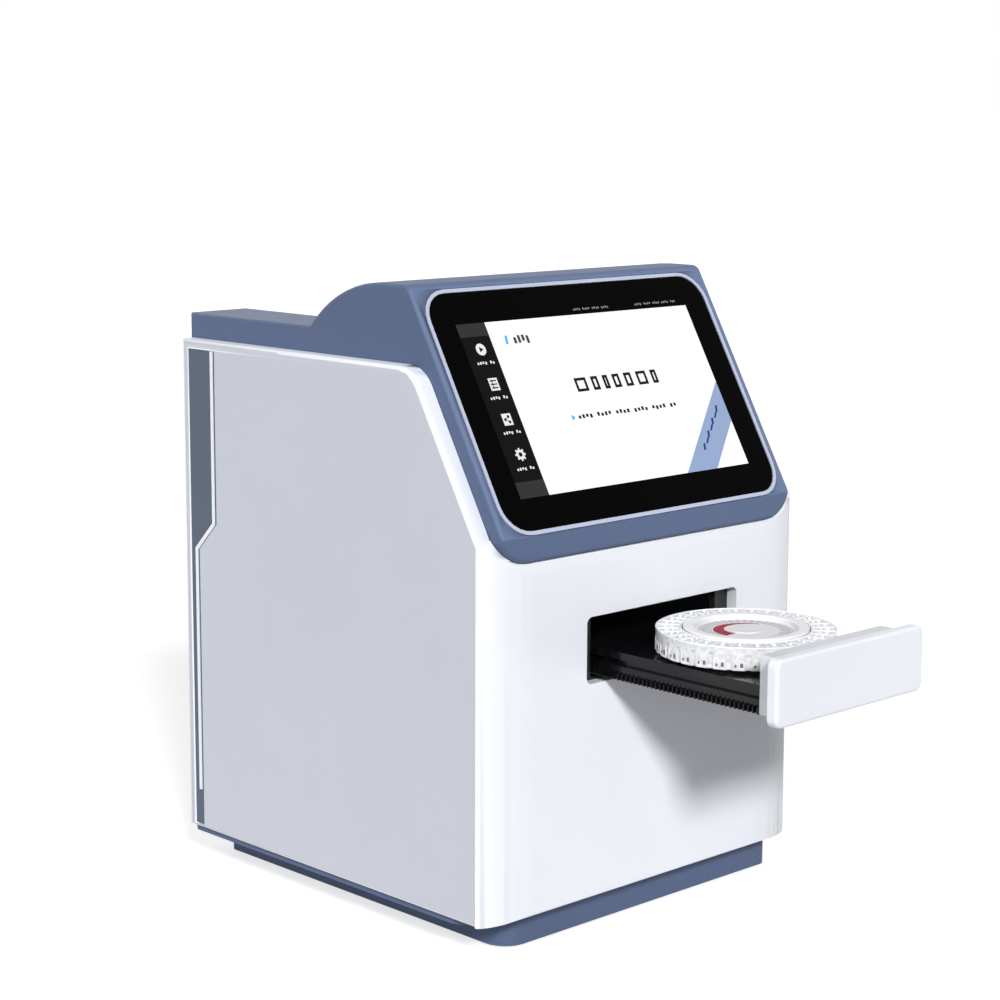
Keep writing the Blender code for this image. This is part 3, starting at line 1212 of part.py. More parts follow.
def drawer_tray():
    low, top = TRAY_BOTTOM, TRAY_TOP
    floor = TRAY_TOP - TRAY_FLOOR
    groove_top = GROOVE_BOTTOM + GROOVE_HEIGHT
    left, right = DRAWER_X - TRAY_HALF, DRAWER_X + TRAY_HALF
    rack_top = low + RACK_FACE
    rack_edge = DRAWER_X - RACK_TIP
    outline = [(rack_edge, low), (left + TRAY_BEAM, low), (left + TRAY_BEAM, floor),
               (right - TRAY_BEAM, floor), (right - TRAY_BEAM, low), (right, low),
               (right, GROOVE_BOTTOM), (right - GROOVE_DEPTH, GROOVE_BOTTOM),
               (right - GROOVE_DEPTH, groove_top), (right, groove_top), (right, top), (left, top),
               (left, groove_top), (left + GROOVE_DEPTH, groove_top),
               (left + GROOVE_DEPTH, GROOVE_BOTTOM), (left, GROOVE_BOTTOM), (left, rack_top),
               (rack_edge, rack_top)]
    tray = piece("drawer_tray", prism(outline, "y", TRAY_FRONT, TRAY_REAR),
                 look("drawer_tray", BLACK, 0.25), (DRAWER_X, TRAY_FRONT, TRAY_TOP))
    outer = TRAY_HOLE_RADIUS + SUPPORT_RING_WIDTH
    join(tray, prism(circle(DRAWER_X, DISC_Y, outer, 36), "z", floor + 0.001,
                     top + SUPPORT_RING_HEIGHT))
    holes = bmesh.new()
    add_prism(holes, circle(DRAWER_X, DISC_Y, TRAY_HOLE_RADIUS, 36), "z", floor - 0.002, top + 0.01)
    light_y = DISC_Y + DISC_RADIUS - 0.004
    add_prism(holes, rounded_rectangle(DRAWER_X, light_y, 0.012, 0.007, 0.002, 2), "z",
              floor - 0.002, top + 0.01)
    cut(tray, holes)
    cut(tray, rack_gaps())


def reagent_disc():
    low = DISC_BOTTOM
    floor = low + DISC_FLOOR
    top = low + DISC_HEIGHT
    edge = 0.0006
    steps = 2 * CUVETTES
    profile = [(DISC_BORE_RADIUS, low), (DISC_RADIUS - edge, low), (DISC_RADIUS, low + edge),
               (DISC_RADIUS, top - edge), (DISC_RADIUS - edge, top), (DISC_WELL_RADIUS, top),
               (DISC_WELL_RADIUS, floor), (DISC_BORE_RADIUS, floor)]
    disc = piece("reagent_disc", turned(profile, (DRAWER_X, DISC_Y, 0), "z", steps),
                 look("reagent_disc", CLEAR, 0.1, 0.0, 0.5), (DRAWER_X, DISC_Y, low))
    notches = bmesh.new()
    start = DISC_RADIUS - CUVETTE_DEPTH
    for index in range(CUVETTES):
        notch = box((start, -CUVETTE_GAP / 2, low - 0.001),
                    (DISC_RADIUS + 0.001, CUVETTE_GAP / 2, low + CUVETTE_HEIGHT))
        notch.transform(Matrix.Translation((DRAWER_X, DISC_Y, 0))
                        @ Matrix.Rotation(2 * pi * (index + 0.5) / CUVETTES, 4, "Z"))
        shared = bpy.data.meshes.new("notch")
        notch.to_mesh(shared)
        notch.free()
        notches.from_mesh(shared)
    cut(disc, notches)
    cover_low = floor + SEAT_GAP
    cover_top = cover_low + COVER_HEIGHT
    recess = cover_top - COVER_RECESS
    cover = [(DISC_BORE_RADIUS, cover_low), (COVER_RADIUS, cover_low), (COVER_RADIUS, cover_top - 0.0005),
             (COVER_RADIUS - 0.0005, cover_top), (COVER_RECESS_RADIUS + 0.0005, cover_top),
             (COVER_RECESS_RADIUS, cover_top - 0.0005), (COVER_RECESS_RADIUS, recess),
             (DISC_BORE_RADIUS, recess)]
    piece("disc_cover", turned(cover, (DRAWER_X, DISC_Y, 0), "z", 48),
          look("disc_cover", PAPER_WHITE, 0.35), (DRAWER_X, DISC_Y, cover_low))
    label_low = recess + SEAT_GAP
    label = [(DISC_BORE_RADIUS, label_low), (LABEL_RADIUS, label_low),
             (LABEL_RADIUS, label_low + LABEL_THICKNESS), (DISC_BORE_RADIUS, label_low + LABEL_THICKNESS)]
    piece("disc_label", turned(label, (DRAWER_X, DISC_Y, 0), "z", 32),
          look("disc_label", PAPER_WHITE, 0.5), (DRAWER_X, DISC_Y, label_low))


def printer():
    half = BAY_WIDTH / 2 - SEAT_GAP
    front = BAY_FRONT + SEAT_GAP
    rear = REAR_PANEL_FRONT - SEAT_GAP
    low = TUB_TOP - TUB_DEPTH
    lip_low = REAR_PANEL_TOP + SEAT_GAP
    lip_rear = BODY_DEPTH - SEAT_GAP
    outline = [(front, low), (rear, low), (rear, lip_low), (lip_rear, lip_low),
               (lip_rear, LID_HINGE_Z - HINGE_RADIUS - SLIDE_GAP), (rear - 0.002,
               LID_HINGE_Z - HINGE_RADIUS - SLIDE_GAP), (rear - 0.002, TUB_TOP),
               (LID_FRONT - SLIDE_GAP, TUB_TOP), (LID_FRONT - SLIDE_GAP, LID_TOP), (front, LID_TOP)]
    housing = piece("printer_housing", prism(outline, "x", -half, half),
                    look("printer_housing", SLATE, 0.5))
    well_half = PAPER_WIDTH / 2 + 0.003
    well_front = LID_FRONT + 0.002
    cut(housing, box((-well_half, well_front, low + TUB_WALL), (well_half, rear - 0.004, TUB_TOP + 0.01)))
    cut(housing, box((-well_half, well_front - HEAD_DEPTH, low + TUB_DEPTH / 2),
                     (well_half, well_front + 0.001, TUB_TOP + 0.0001)))
    button_x = BAY_WIDTH / 2 - 0.016
    button_y = (front + LID_FRONT) / 2
    cut(housing, box((button_x - BUTTON_WIDTH / 2 - SLIDE_GAP, button_y - BUTTON_DEPTH / 2 - SLIDE_GAP,
                      LID_TOP - 0.006),
                     (button_x + BUTTON_WIDTH / 2 + SLIDE_GAP, button_y + BUTTON_DEPTH / 2 + SLIDE_GAP,
                      LID_TOP + 0.01)))
    button_low = LID_TOP - 0.006 + BUTTON_TRAVEL + SLIDE_GAP
    button = prism(rounded_rectangle(button_x, button_y, BUTTON_WIDTH, BUTTON_DEPTH, 0.001, 2), "z",
                   button_low, LID_TOP + BUTTON_PROUD)
    piece("printer_release_button", button, look("printer_release_button", DARK_SLATE, 0.4),
          (button_x, button_y, button_low))
    paper_and_platen(low, well_front, rear)


def paper_and_platen(low, well_front, rear):
    centre_z = low + TUB_WALL + SEAT_GAP + PAPER_RADIUS
    centre_y = (well_front + 0.012 + rear - 0.004) / 2
    half = PAPER_WIDTH / 2
    roll = turned([(PAPER_CORE_RADIUS, -half), (PAPER_RADIUS, -half), (PAPER_RADIUS, half),
                   (PAPER_CORE_RADIUS, half)], (0, centre_y, centre_z), "x", 28)
    piece("paper_roll", roll, look("paper_roll", PAPER_WHITE, 0.8), (0, centre_y, centre_z))
    head = box((-half, well_front - HEAD_DEPTH + SEAT_GAP, low + TUB_DEPTH / 2 + SEAT_GAP),
               (half, well_front - 0.0008, TUB_TOP - 0.004))
    piece("print_head", head, look("print_head", DARK_GREY, 0.35, 0.4))
    printer_lid(well_front)


def printer_lid(well_front):
    half = BAY_WIDTH / 2 - 2 * SEAT_GAP
    rear = LID_HINGE_Y
    pivot = (0, LID_HINGE_Y, LID_HINGE_Z)
    lid = piece("printer_lid", box((-half, LID_FRONT, LID_BOTTOM), (half, rear, LID_TOP)),
                look("printer_lid", SLATE, 0.45), pivot)
    knuckle = prism(circle(LID_HINGE_Y, LID_HINGE_Z, HINGE_RADIUS, 16), "x", -half, half)
    join(lid, knuckle)
    ears = bmesh.new()
    platen_y = well_front + PLATEN_RADIUS + 0.0006
    platen_z = TUB_TOP - 0.0075
    ear_half = PAPER_WIDTH / 2 + 0.0008
    for side in (-1, 1):
        add_prism(ears, rounded([(platen_y - 0.002, LID_BOTTOM + 0.001, 0),
                                 (platen_y + 0.010, LID_BOTTOM + 0.001, 0),
                                 (platen_y + 0.003, platen_z - 0.002, 0.001),
                                 (platen_y - 0.002, platen_z - 0.002, 0.001)], 2), "x",
                  side * ear_half, side * (ear_half + 0.0015))
    join(lid, ears)
    roller = turned([(0, -ear_half + SEAT_GAP), (PLATEN_RADIUS, -ear_half + SEAT_GAP),
                     (PLATEN_RADIUS, ear_half - SEAT_GAP), (0, ear_half - SEAT_GAP)],
                    (0, platen_y, platen_z), "x", 20)
    piece("platen_roller", roller, look("platen_roller", RUBBER_BLACK, 0.7), pivot)


def build():
    clear_scene()
    frame = bpy.data.objects.new("cabinet_frame", None)
    frame.location = (0, ORIGIN_SHIFT, 0)
    bpy.context.collection.objects.link(frame)
    base_plinth()
    rubber_feet()
    chassis_plate()
    front_shell()
    drawer_bezel()
    for name, side in (("left", -1), ("right", 1)):
        side_panel(name + "_side_panel", side)
        side_inlay(name + "_side_strip", name + "_trim_line", side)
    top_hood()
    display()
    rear_panel()
    fan()
    rear_sockets()
    power_supply()
    mechanism_frame()
    guide_rail("left_guide_rail", -1)
    guide_rail("right_guide_rail", 1)
    drive_pinion()
    drive_motor()
    spindle()
    photometer()
    drawer_front()
    drawer_block()
    drawer_tray()
    reagent_disc()
    printer()


build()
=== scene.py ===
"""Looks of the dry biochemistry analyzer: moulded plastics, the lit touch screen, the clear
reagent disc, the plated mechanism behind the drawer, and a plain pale studio."""

from math import cos, pi, radians, sin

import bmesh
import bpy
from mathutils import Matrix, Vector


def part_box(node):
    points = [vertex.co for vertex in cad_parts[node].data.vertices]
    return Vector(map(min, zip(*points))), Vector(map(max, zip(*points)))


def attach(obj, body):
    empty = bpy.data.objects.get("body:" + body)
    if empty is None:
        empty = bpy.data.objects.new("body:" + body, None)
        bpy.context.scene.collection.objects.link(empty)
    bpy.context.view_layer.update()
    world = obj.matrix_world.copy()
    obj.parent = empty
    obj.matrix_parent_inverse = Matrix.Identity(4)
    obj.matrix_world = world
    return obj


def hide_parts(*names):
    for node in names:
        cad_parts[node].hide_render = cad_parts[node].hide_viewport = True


MM = 0.001
SHIFT = -48.05                  # from the cabinet's own millimetres to the frame's, along Y

# Screen slope, and how far the touch glass stands out of it
SLOPE_ANGLE = radians(60.1)
SLOPE_FOOT = Vector((0.0, (SHIFT - 7.0) * MM, 178.0 * MM))
GLASS_FACE = 6.8

# Lit picture on the slope: across and up it
MENU_LEFT = -76.2
PAGE_LEFT = -58.8
PAGE_RIGHT = 74.8
PAGE_FOOT = 28.0
PAGE_TOP = 111.6
LAYER = 0.025
PAGE = GLASS_FACE + 0.01
PRINT = PAGE + LAYER
STATUS_RISE = 114.2

CELLS = 30
CELL_FACE = 39.9
PORT_PITCH = 16.5
SCREW_HEIGHTS = (30.0, 110.0, 200.0)

# Colour sockets of a Mix node: its two ends and its result
MIX_FIRST, MIX_SECOND, MIX_RESULT = 6, 7, 2

CAMERA_PLACE = Vector((-779.3, SHIFT - 718.3, 376.9)) * MM
CAMERA_YAW = radians(43.63)
CAMERA_PITCH = radians(9.29)
CAMERA_ROLL = radians(0.17)


class Wire:
    """Output of a shader node. Arithmetic on it adds Math nodes."""

    def __init__(self, finish, socket):
        self.finish = finish
        self.socket = socket

    def calc(self, operation, *terms):
        return self.finish.node("ShaderNodeMath", {"operation": operation}, dict(enumerate(terms)))

    def __add__(self, other):
        return self.calc("ADD", self, other)

    def __radd__(self, other):
        return self.calc("ADD", other, self)

    def __sub__(self, other):
        return self.calc("SUBTRACT", self, other)

    def __rsub__(self, other):
        return self.calc("SUBTRACT", other, self)

    def __mul__(self, other):
        return self.calc("MULTIPLY", self, other)

    def __rmul__(self, other):
        return self.calc("MULTIPLY", other, self)

    def __gt__(self, other):
        return self.calc("GREATER_THAN", self, other)

    def __lt__(self, other):
        return self.calc("LESS_THAN", self, other)

    def power(self, other):
        return self.calc("POWER", self, other)

    def at_least(self, other):
        return self.calc("MAXIMUM", self, other)

    def at_most(self, other):
        return self.calc("MINIMUM", self, other)

    def wave(self):
        return self.calc("SINE", self)


class Finish:
    """Procedural surface of one material of the analyzer."""

    def __init__(self, name, colour, roughness, **constants):
        self.material = bpy.data.materials.new(name)
        self.material.use_nodes = True
        self.tree = self.material.node_tree
        self.shader = self.tree.nodes["Principled BSDF"]
        self.shader.inputs["Base Color"].default_value = (*colour, 1.0)
        self.shader.inputs["Roughness"].default_value = roughness
        for label, value in constants.items():
            self.shader.inputs[label.replace("_", " ")].default_value = value

    def node(self, kind, settings=None, inputs=None, output=0):
        node = self.tree.nodes.new(kind)
        for label, value in (settings or {}).items():
            setattr(node, label, value)
        for label, value in (inputs or {}).items():
            if isinstance(value, Wire):
                self.tree.links.new(value.socket, node.inputs[label])
            else:
                node.inputs[label].default_value = value
        return Wire(self, node.outputs[output])

    def drive(self, label, wire):
        self.tree.links.new(wire.socket, self.shader.inputs[label])
        return self

    def place(self):
        return self.node("ShaderNodeTexCoord", output="Object")

    def normal(self):
        return self.node("ShaderNodeTexCoord", output="Normal")

    def axis(self, vector, letter):
        return self.node("ShaderNodeSeparateXYZ", inputs={0: vector}, output=letter)

    def noise(self, scale, detail=2.0, stretch=(1.0, 1.0, 1.0)):
        spot = self.node("ShaderNodeMapping", inputs={"Vector": self.place(), "Scale": stretch})
        return self.node("ShaderNodeTexNoise", inputs={"Vector": spot, "Scale": scale,
                                                       "Detail": detail})

    def blend(self, first, second, mask):
        ends = {MIX_FIRST: first if isinstance(first, Wire) else (*first, 1.0),
                MIX_SECOND: second if isinstance(second, Wire) else (*second, 1.0)}
        return self.node("ShaderNodeMix", {"data_type": "RGBA"}, {0: mask, **ends}, MIX_RESULT)

    def bump(self, height, distance):
        normal = self.node("ShaderNodeBump", inputs={"Height": height, "Distance": distance,
                                                     "Strength": 1.0})
        return self.drive("Normal", normal)


class Surroundings(Finish):
    """Nodes of the world round the studio."""

    def __init__(self, world):
        self.tree = world.node_tree


def shade(colour, factor):
    """Same colour, lighter or darker."""
    return tuple(channel * factor for channel in colour)


def moulding(name, colour, roughness, grain, **constants):
    """Plastic with uneven gloss and a fine spark texture, and its faintly cloudy colour."""
    finish = Finish(name, colour, roughness, **constants)
    finish.drive("Roughness", roughness + (finish.noise(55.0) - 0.5) * 0.12)
    finish.bump(finish.noise(1900.0, 1.0), grain)
    return finish, finish.blend(shade(colour, 0.965), shade(colour, 1.03), finish.noise(14.0, 3.0))


def moulded(name, colour, roughness, grain, **constants):
    """Moulded plastic of one colour all over."""
    finish, cloud = moulding(name, colour, roughness, grain, **constants)
    return finish.drive("Base Color", cloud).material


def edged(name, colour, edge, roughness, grain):
    """Panel whose flat face is painted, its rounded edge and ledge left in the body's white,
    partly a painted highlight along that edge.
    """
    finish, cloud = moulding(name, colour, roughness, grain)
    # Every face not turned sideways takes the white: partly the body's white edge, partly a
    # painted highlight on the rounded edge and ledge.
    sideways = finish.axis(finish.normal(), "X")
    return finish.drive("Base Color",
                        finish.blend(edge, cloud, sideways * sideways > 0.93)).material


def hood_plastic(name, colour, sheen_colour, roughness, grain, **constants):
    """Plastic of the hood, with a painted sheen that makes its sloping lip paler towards the user.
    """
    finish, cloud = moulding(name, colour, roughness, grain, **constants)
    normal = finish.normal()
    # Painted sheen: faces turned to the slope's front take the paler colour, as if lit by the
    # lamp.
    sheen_mask = (finish.axis(normal, "Z") * cos(SLOPE_ANGLE)
              - finish.axis(normal, "Y") * sin(SLOPE_ANGLE)).at_least(0.0)
    return finish.drive("Base Color", finish.blend(cloud, sheen_colour, sheen_mask.power(8.0))).material


def plated(name, colour, roughness, stretch=(1.0, 12.0, 1.0)):
    """Rolled or turned metal with drawn streaks in its gloss and colour."""
    finish = Finish(name, colour, roughness, Metallic=1.0)
    streak = finish.noise(160.0, 3.0, stretch)
    finish.drive("Base Color", finish.blend(shade(colour, 0.86), shade(colour, 1.08), streak))
    return finish.drive("Roughness", roughness + (streak - 0.5) * 0.22).material


def lit(name, colour):
    """Part of the display's picture, seen through the touch glass."""
    return Finish(name, shade(colour, 0.02), 0.12, Emission_Color=(*colour, 1.0),
                  Emission_Strength=1.0, Specular_IOR_Level=0.04).material


def circuit_board(name):
    """Solder mask with paler copper tracks under it."""
    green = (0.015, 0.11, 0.05)
    finish = Finish(name, green, 0.35, Coat_Weight=0.3)
    tracks = finish.node("ShaderNodeTexVoronoi", {"distance": "MANHATTAN", "feature": "F1"},
                         {"Vector": finish.place(), "Scale": 140.0})
    return finish.drive("Base Color",
                        finish.blend(green, (0.03, 0.20, 0.08), tracks > 0.45)).material


def disc_label(centre):
    """Round paper label: a plain red crescent, thin rings and faint rays round it, its outer band
    darkened partly by painted shade.
    """
    finish = Finish("label", (0.62, 0.62, 0.66), 0.5, Specular_IOR_Level=0.15)
    spot = finish.node("ShaderNodeMapping", inputs={"Vector": finish.place(),
                                                    "Location": -centre})
    spot = finish.node("ShaderNodeMapping", inputs={"Vector": spot,
                                                    "Rotation": (0.0, 0.0, -radians(100))})
    across = finish.axis(spot, "X")
    along = finish.axis(spot, "Y")
    reach = (across * across + along * along).power(0.5)
    swing = along.calc("ARCTAN2", along, across)
    crescent = (reach < 0.0146) * (reach > 0.0107 - swing * 0.0021) * (swing * swing < 2.2)
    rays = (swing * 36.0).wave() * 0.5 + 0.5
    # Darker outer band: partly painted shade of the recess round the label, partly the printed
    # rays.
    outer = (reach > 0.0152) * 0.55
    rings = ((reach > 0.0186) * (reach < 0.0190) + (reach > 0.0062) * (reach < 0.0065)) * 0.6
    ground = finish.blend((0.78, 0.78, 0.80), (0.27, 0.27, 0.30), outer * (0.35 + rays * 0.65))
    ringed = finish.blend(ground, (0.55, 0.22, 0.28), rings)
    return finish.drive("Base Color",
                        finish.blend(ringed, (0.30, 0.001, 0.022), crescent)).material


def clear_plastic(name):
    """Moulded clear polymer, milky where it is thick."""
    finish = Finish(name, (0.90, 0.91, 0.93), 0.12, Transmission_Weight=0.2, IOR=1.45,
                    Coat_Weight=0.4)
    cloud = finish.noise(420.0)
    finish.drive("Base Color", finish.blend((0.74, 0.75, 0.78), (1.0, 1.0, 1.0),
                                            (cloud - 0.3) * 2.4))
    finish.drive("Roughness", 0.06 + cloud * 0.16)
    return finish.bump(cloud, 0.0006).material


def dress(nodes, material, *names):
    """Gives one material to the CAD nodes named."""
    for name in names:
        nodes[name].data.materials.clear()
        nodes[name].data.materials.append(material)


def finished(name, bm, material, body="cabinet", stand_for=(), smooth=32):
    """Scene piece that rides on a body, its place kept in its mesh."""
    mesh = bpy.data.meshes.new(name)
    bm.to_mesh(mesh)
    bm.free()
    mesh.materials.append(material)
    mesh.shade_smooth()
    mesh.set_sharp_from_angle(angle=radians(smooth))
    obj = bpy.data.objects.new(name, mesh)
    bpy.context.scene.collection.objects.link(obj)
    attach(obj, body)
    if stand_for:
        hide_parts(*stand_for)
    return obj


def skinned(nodes, *names):
    """Smooth skin over a cabinet node: its own shape with the facets welded, so curves shade."""
    for name in names:
        source = nodes[name].data
        bm = bmesh.new()
        bm.from_mesh(source)
        bmesh.ops.remove_doubles(bm, verts=bm.verts, dist=0.001 * MM)
        skin = finished(name + "_skin", bm, source.materials[0], stand_for=(name,))
        weighting = skin.modifiers.new("weighted", "WEIGHTED_NORMAL")
        weighting.keep_sharp = True


def add_polygon(bm, points, out, thickness=0.02):
    """Thin plate on the screen slope through (across, rise) points, in millimetres."""
    sideways = Vector((1.0, 0.0, 0.0))
    up = Vector((0.0, cos(SLOPE_ANGLE), sin(SLOPE_ANGLE)))
    normal = Vector((0.0, -sin(SLOPE_ANGLE), cos(SLOPE_ANGLE)))
    turn = Matrix((sideways, up, normal)).transposed().to_4x4()
    place = Matrix.Translation(SLOPE_FOOT + normal * out * MM) @ turn
    verts = [bm.verts.new(place @ Vector((x * MM, rise * MM, 0.0))) for x, rise in points]
    raised = bmesh.ops.extrude_face_region(bm, geom=[bm.faces.new(verts)])["geom"]
    bmesh.ops.translate(bm, vec=place.to_3x3() @ Vector((0.0, 0.0, thickness * MM)),
                        verts=[item for item in raised if isinstance(item, bmesh.types.BMVert)])


def corners(x, rise, width, height):
    """Points of an upright box round its middle."""
    a, b = width / 2, height / 2
    return [(x - a, rise - b), (x + a, rise - b), (x + a, rise + b), (x - a, rise + b)]


def round_outline(x, rise, radius, steps=24):
    """Points of a circle."""
    return [(x + radius * cos(2 * pi * step / steps), rise + radius * sin(2 * pi * step / steps))
            for step in range(steps)]


def add_dashes(bm, start, end, rise, count, height, out):
    """Row of short dashes that stands for a line of words."""
    pitch = (end - start) / count
    for index in range(count):
        if index % 5 == 4:
            continue
        lift = 0.12 * height * ((index * 7) % 3 - 1)
        add_polygon(bm, corners(start + pitch * (index + 0.5), rise + lift, pitch * 0.62,
                                height * (0.8 + 0.2 * (index % 2))), out)


def add_frame(bm, start, end, rise, height, out):
    """Hollow box that stands for one large letter."""
    for spot in (start + 0.75, end - 0.75):
        add_polygon(bm, corners(spot, rise, 1.5, height), out)
    for lift in (-2.7, 2.7):
        add_polygon(bm, corners((start + end) / 2, rise + lift, end - start - 2.7, 1.4), out)


def screen_picture():
    """Start page of the display: menu bar, heading, a line under it and a corner ribbon."""
    page = bmesh.new()
    add_polygon(page, [(PAGE_LEFT, PAGE_FOOT), (PAGE_RIGHT, PAGE_FOOT), (PAGE_RIGHT, PAGE_TOP),
                       (PAGE_LEFT, PAGE_TOP)], PAGE)
    finished("screen_page", page, lit("page_white", (1.0, 1.0, 1.0)))
    menu = bmesh.new()
    add_polygon(menu, [(MENU_LEFT, PAGE_FOOT), (PAGE_LEFT, PAGE_FOOT), (PAGE_LEFT, PAGE_TOP),
                       (MENU_LEFT, PAGE_TOP)], PAGE)
    finished("screen_menu", menu, lit("menu_grey", (0.0045, 0.0045, 0.0045)))
    tabs = bmesh.new()
    add_polygon(tabs, corners(-67.5, 108.4, 17.4, 6.4), PRINT)
    add_polygon(tabs, corners(-67.5, 31.8, 17.4, 7.6), PRINT)
    finished("screen_menu_ends", tabs, lit("tab_grey", (0.034, 0.034, 0.034)))
    ribbon = bmesh.new()
    add_polygon(ribbon, [(PAGE_RIGHT, 71.0), (31.7, PAGE_FOOT), (52.5, PAGE_FOOT),
                         (PAGE_RIGHT, 50.5)], PRINT)
    finished("screen_ribbon", ribbon, lit("ribbon_blue", (0.31, 0.41, 0.63)))
    strokes = bmesh.new()
    for step in range(7):
        x, rise = 49.0 + step * 3.0, 38.5 + step * 3.0
        lean = 0.9 if step % 2 else -0.7
        add_polygon(strokes, [(x - 0.6, rise - 0.8), (x + 0.9, rise - 0.6),
                              (x + 2.6 + lean, rise + 2.6), (x + 1.1 + lean, rise + 2.4)],
                    PRINT + LAYER)
    finished("screen_ribbon_strokes", strokes, lit("stroke_blue", (0.02, 0.06, 0.24)))
    words = bmesh.new()
    for start, end in ((-17.8, -10.4), (-7.2, -2.8), (0.4, 3.8), (6.8, 11.4), (14.6, 19.4),
                       (22.8, 29.4), (32.6, 36.4)):
        add_frame(words, start, end, 77.2, 6.8, PRINT)
    add_dashes(words, -24.0, 42.0, 62.0, 27, 1.9, PRINT)
    finished("screen_words", words, lit("ink", (0.012, 0.012, 0.014)))
    title = bmesh.new()
    add_dashes(title, -45.6, -35.2, 102.2, 4, 3.8, PRINT)
    finished("screen_title", title, lit("title_grey", (0.06, 0.06, 0.06)))
    marks = bmesh.new()
    add_polygon(marks, [(-50.6, 100.2), (-49.2, 100.2), (-48.4, 104.4), (-49.8, 104.4)], PRINT)
    add_polygon(marks, [(-27.8, 60.6), (-25.6, 62.0), (-27.8, 63.4)], PRINT)
    finished("screen_marks", marks, lit("mark_blue", (0.05, 0.45, 0.95)))
    menu_icons()
    status = bmesh.new()
    add_dashes(status, -1.5, 23.5, STATUS_RISE, 20, 1.0, PAGE)
    add_dashes(status, 40.0, 68.8, STATUS_RISE, 23, 1.0, PAGE)
    finished("screen_status_line", status, lit("status_grey", (0.28, 0.28, 0.28)))


def menu_icons():
    """Start, table, share and settings icons with a short caption under each."""
    pale = bmesh.new()
    dark = bmesh.new()
    x, start, table, share, settings = -66.7, 98.9, 82.0, 65.0, 48.2
    add_polygon(pale, round_outline(x, start, 2.9), PRINT)
    add_polygon(dark, [(x - 0.9, start - 1.3), (x + 1.5, start), (x - 0.9, start + 1.3)],
                PRINT + LAYER)
    add_polygon(pale, corners(x, table, 5.4, 6.0), PRINT)
    for step in range(3):
        add_polygon(dark, corners(x, table + (step - 1) * 1.7, 3.9, 0.6), PRINT + LAYER)
    add_polygon(dark, corners(x - 0.8, table, 0.5, 4.6), PRINT + LAYER)
    add_polygon(pale, corners(x, share, 5.4, 5.6), PRINT)
    for across, lift in ((-1.2, 0.0), (1.0, 1.3), (1.0, -1.3)):
        add_polygon(dark, round_outline(x + across, share + lift, 0.75, 10), PRINT + LAYER)
    for end in (1.3, -1.3):
        add_polygon(dark, [(x - 1.2, share - 0.2), (x + 1.0, share - 0.2 + end),
                           (x + 1.0, share + 0.2 + end), (x - 1.2, share + 0.2)],
                    PRINT + 2 * LAYER)
    gear = []
    for tooth in range(8):
        for part, radius in ((-0.30, 2.3), (-0.18, 3.1), (0.18, 3.1), (0.30, 2.3)):
            angle = 2 * pi * (tooth + part) / 8
            gear.append((x + radius * cos(angle), settings + radius * sin(angle)))
    add_polygon(pale, gear, PRINT)
    add_polygon(dark, round_outline(x, settings, 1.1, 14), PRINT + LAYER)
    for rise in (92.4, 75.5, 58.8, 41.5):
        add_dashes(pale, x - 5.4, x + 5.4, rise, 7, 1.3, PRINT)
    finished("screen_icons", pale, lit("icon_white", (0.85, 0.85, 0.85)))
    finished("screen_icon_cuts", dark, lit("icon_cut", (0.014, 0.014, 0.014)))


def add_block(bm, size, place, edge=0.0):
    """Box with rounded edges, its sizes and places in millimetres."""
    made = bmesh.ops.create_cube(bm, size=1.0, matrix=Matrix.Translation(Vector(place) * MM)
                                 @ Matrix.Diagonal((*(value * MM for value in size), 1.0)))
    if edge:
        edges = list({link for vert in made["verts"] for link in vert.link_edges})
        bmesh.ops.bevel(bm, geom=edges, offset=edge * MM, offset_type="OFFSET", segments=2,
                        profile=0.5, affect="EDGES", material=-1)


def add_hoop(bm, centre, inner, outer, low, high):
    """Flat ring round an upright axis, its sizes in millimetres."""
    verts = [bm.verts.new(Vector((centre.x + reach * MM, centre.y, height * MM)))
             for reach, height in ((inner, low), (outer, low), (outer, high), (inner, high))]
    profile = [bm.edges.new((verts[index], verts[index - 1])) for index in range(4)]
    bmesh.ops.spin(bm, geom=verts + profile, cent=centre, axis=(0.0, 0.0, 1.0),
                   angle=2 * pi, steps=90, use_merge=True, use_duplicate=False)
    bmesh.ops.recalc_face_normals(bm, faces=bm.faces)


def all_round(bm, centre):
    """Repeats everything in a mesh once for each of the disc's cells."""
    bmesh.ops.spin(bm, geom=bm.verts[:] + bm.edges[:] + bm.faces[:], cent=centre,
                   axis=(0.0, 0.0, 1.0), angle=2 * pi * (CELLS - 1) / CELLS, steps=CELLS - 1,
                   use_duplicate=True)


